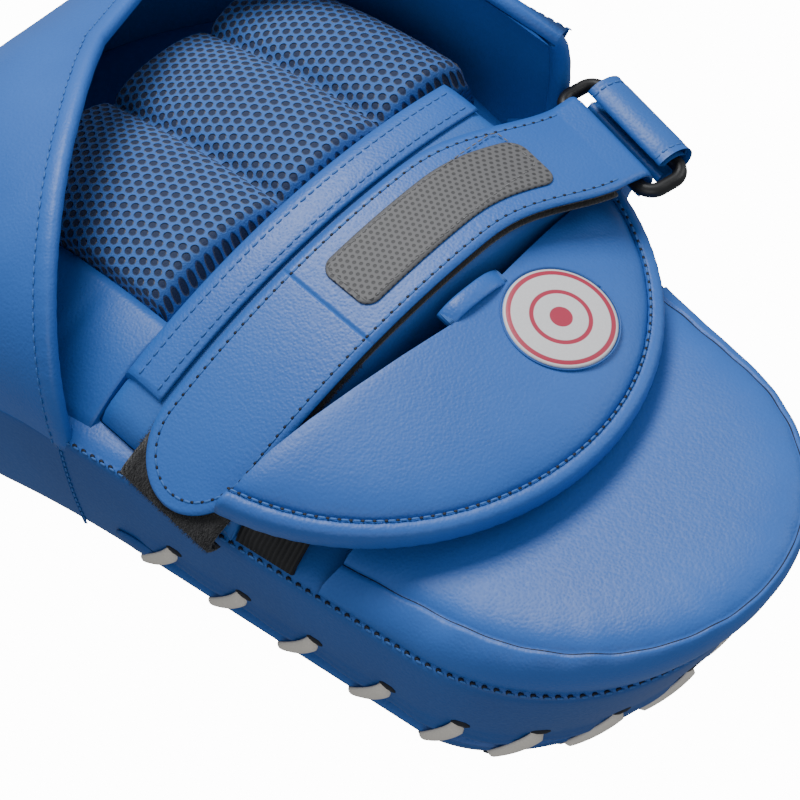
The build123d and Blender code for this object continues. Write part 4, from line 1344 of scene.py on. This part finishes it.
# The thumb side is nearly square, so its turns are spaced by height.
TURNS = [math.degrees(math.asin((0.92 * i / 26) ** 3.75)) + 1e-4 for i in range(26)]
FIRST_ROUND = math.degrees(math.asin(0.92 ** 3.75))
TURNS += [FIRST_ROUND + (179.9 - FIRST_ROUND) * i / 80 for i in range(81)]
STARTS = {t: hood_start(t) for t in TURNS}


def hood_rows(inset, grow):
    rows = []
    for i in range(53):
        k = i / 52
        ring = []
        for t in TURNS:
            y0 = STARTS[t] + grow
            y = y0 + (171.9 - y0) * (1 - (1 - k) ** 1.35)
            crease = (0.8 * math.sin(t / 9.0 + y / 14) * math.exp(-((y - y0) / 40) ** 2)
                      * smooth((t - 60) / 40))
            p = hood_point(y, t, inset - (0.5 * crease if inset < 2 else 0))
            ring.append(p)
        rows.append(ring)
    return rows


outer_rows = hood_rows(0.0, 3.0)
hood = grid("hood_shell", outer_rows)
inner_rows = hood_rows(3.8, 3.0)
liner = grid("hood_liner", inner_rows)
dress(hood, blue, "pad", "shell_leather", "finger_hood", fill=0.8)
dress(liner, lining, "pad", "lining_leather", "hood_lining", fill=0.7)

# %% hood edge
rows, line = [], []
steps = []
for t in TURNS:
    a, b = Vector(hood_point(STARTS[t] + 0.4, t)), Vector(hood_point(STARTS[t] + 7.4, t))
    inner = Vector(hood_point(STARTS[t] + 3.6, t, 4.0))
    steps.append((a, b, inner))
for i, (a, b, inner) in enumerate(steps):
    back = (b - a).normalized()
    after, before = steps[min(i + 1, len(steps) - 1)][0], steps[max(i - 1, 0)][0]
    run = (after - before).normalized()
    back = (back - run * back.dot(run)).normalized()
    out = (a + b) / 2 - inner
    out = (out - run * out.dot(run) - back * out.dot(back)).normalized()
    centre = a + back * 3.4 - out * 2.0
    ring = []
    for j in range(16):
        q = j * math.pi / 8
        w = 3.7 * math.copysign(abs(math.cos(q)) ** 0.7, math.cos(q))
        h = 2.7 * math.copysign(abs(math.sin(q)) ** 0.8, math.sin(q))
        ring.append(tuple(centre + back * w + out * (h + 0.1 * math.sin(i * 2.1))))
    rows.append(ring)
    line.append((centre + back * 2.3 + out * 2.62, out))
dress(grid("hood_edge_binding", rows, around=True, capped=True),
      blue, "pad", "shell_leather", "hood_binding", fill=0.9)
outs = [o for p, o in line]
pts = [p for p, o in line]


def nearest_out(p):
    best = min(range(len(pts)), key=lambda i: (pts[i] - Vector(p)).length_squared)
    return outs[best]


dress(stitches("hood_edge_thread", pts, nearest_out, 3.4, 2.4, 0.45), blue_thread, "pad", "shell_leather")
# Vent holes in the hood: flat near-black beads, painted shade in the holes.
spots = []
for row in range(5):
    for column in range(8):
        y, t = 70 + column * 9 + (4.5 if row % 2 else 0), 128 + row * 5
        p, q, r = (Vector(hood_point(y + d, t + e)) for d, e in ((0, 0), (1, 0), (0, 1)))
        out = (q - p).cross(r - p).normalized()
        out = out if out.z > 0 else -out
        if y > STARTS[min(TURNS, key=lambda u: abs(u - t))] + 14:
            spots.append((p + out * 0.15, (q - p).normalized(), out))
dress(beads("hood_vents", spots, (1.3, 1.3, 0.35)), hole_shade, "pad", "lining_leather")
print("hood done, vents", len(spots))

# %% [markdown]
# Anything of the frame that still shows gets a finish of its own.

# %% leftover nodes
for name, obj in nodes.items():
    if not obj.hide_render and not obj.data.materials:
        obj.data.materials.append(lining)
    if not obj.hide_render and name != "strap_ring":
        obj.data.materials.clear()
        obj.data.materials.append(lining)
        print("still shown:", name)

# %% [markdown]
# A white studio and the camera, above the wrist end and to the little finger's side.

# %% stage, light and camera
world = bpy.data.worlds.new("studio")
bpy.context.scene.world = world
world.use_nodes = True
tree = world.node_tree
backdrop, fill_light = tree.nodes["Background"], tree.nodes.new("ShaderNodeBackground")
backdrop.inputs["Color"].default_value = (1, 1, 1, 1)
fill_light.inputs["Color"].default_value = (0.9, 0.95, 1, 1)
fill_light.inputs["Strength"].default_value = 0.34
backdrop.inputs["Strength"].default_value = 14.0
seen, join = tree.nodes.new("ShaderNodeLightPath"), tree.nodes.new("ShaderNodeMixShader")
tree.links.new(seen.outputs["Is Camera Ray"], join.inputs[0])
tree.links.new(fill_light.outputs[0], join.inputs[1])
tree.links.new(backdrop.outputs[0], join.inputs[2])
tree.links.new(join.outputs[0], tree.nodes["World Output"].inputs["Surface"])


def lamp(name, power, size, place, aim=(0, -0.03, 0.08)):
    data = bpy.data.lights.new(name, "AREA")
    data.energy, data.size = power, size
    obj = bpy.data.objects.new(name, data)
    obj.location = place
    obj.rotation_euler = (Vector(aim) - Vector(place)).to_track_quat("-Z", "Y").to_euler()
    bpy.context.collection.objects.link(obj)
    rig.stage(obj)


lamp("key", 12.0, 0.45, (0.15, 0.35, 1.0))
lamp("side", 3.0, 0.6, (0.9, -0.5, 0.7))
lamp("front", 2.5, 0.8, (-0.7, -0.7, 0.6))
TURN_IN = Matrix.Rotation(math.radians(SLOPE), 4, "X")
az, el = math.radians(-45), math.radians(57)
away = Vector((math.sin(az) * math.cos(el), -math.cos(az) * math.cos(el), math.sin(el)))
spot = Vector((-22, -55, 22)) + away * (2222.2 / 3.4)
cam = bpy.data.objects.new("camera", bpy.data.cameras.new("camera"))
bpy.context.collection.objects.link(cam)
cam.data.lens, cam.data.sensor_width = 100, 36
z_axis = (TURN_IN.to_3x3() @ away).normalized()
x_axis = (TURN_IN.to_3x3() @ Vector((0, 0, 1))).cross(z_axis).normalized()
matrix = Matrix((x_axis, z_axis.cross(x_axis), z_axis)).transposed().to_4x4()
matrix.translation = Vector(wrist(*spot)) / 1000
cam.matrix_world = matrix
bpy.context.scene.camera = cam

# %% close
with open("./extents.json", "w") as f:
    json.dump({"cad": [list(v) for v in CAD_BOX], "visual": [list(v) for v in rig.bounds()]}, f)
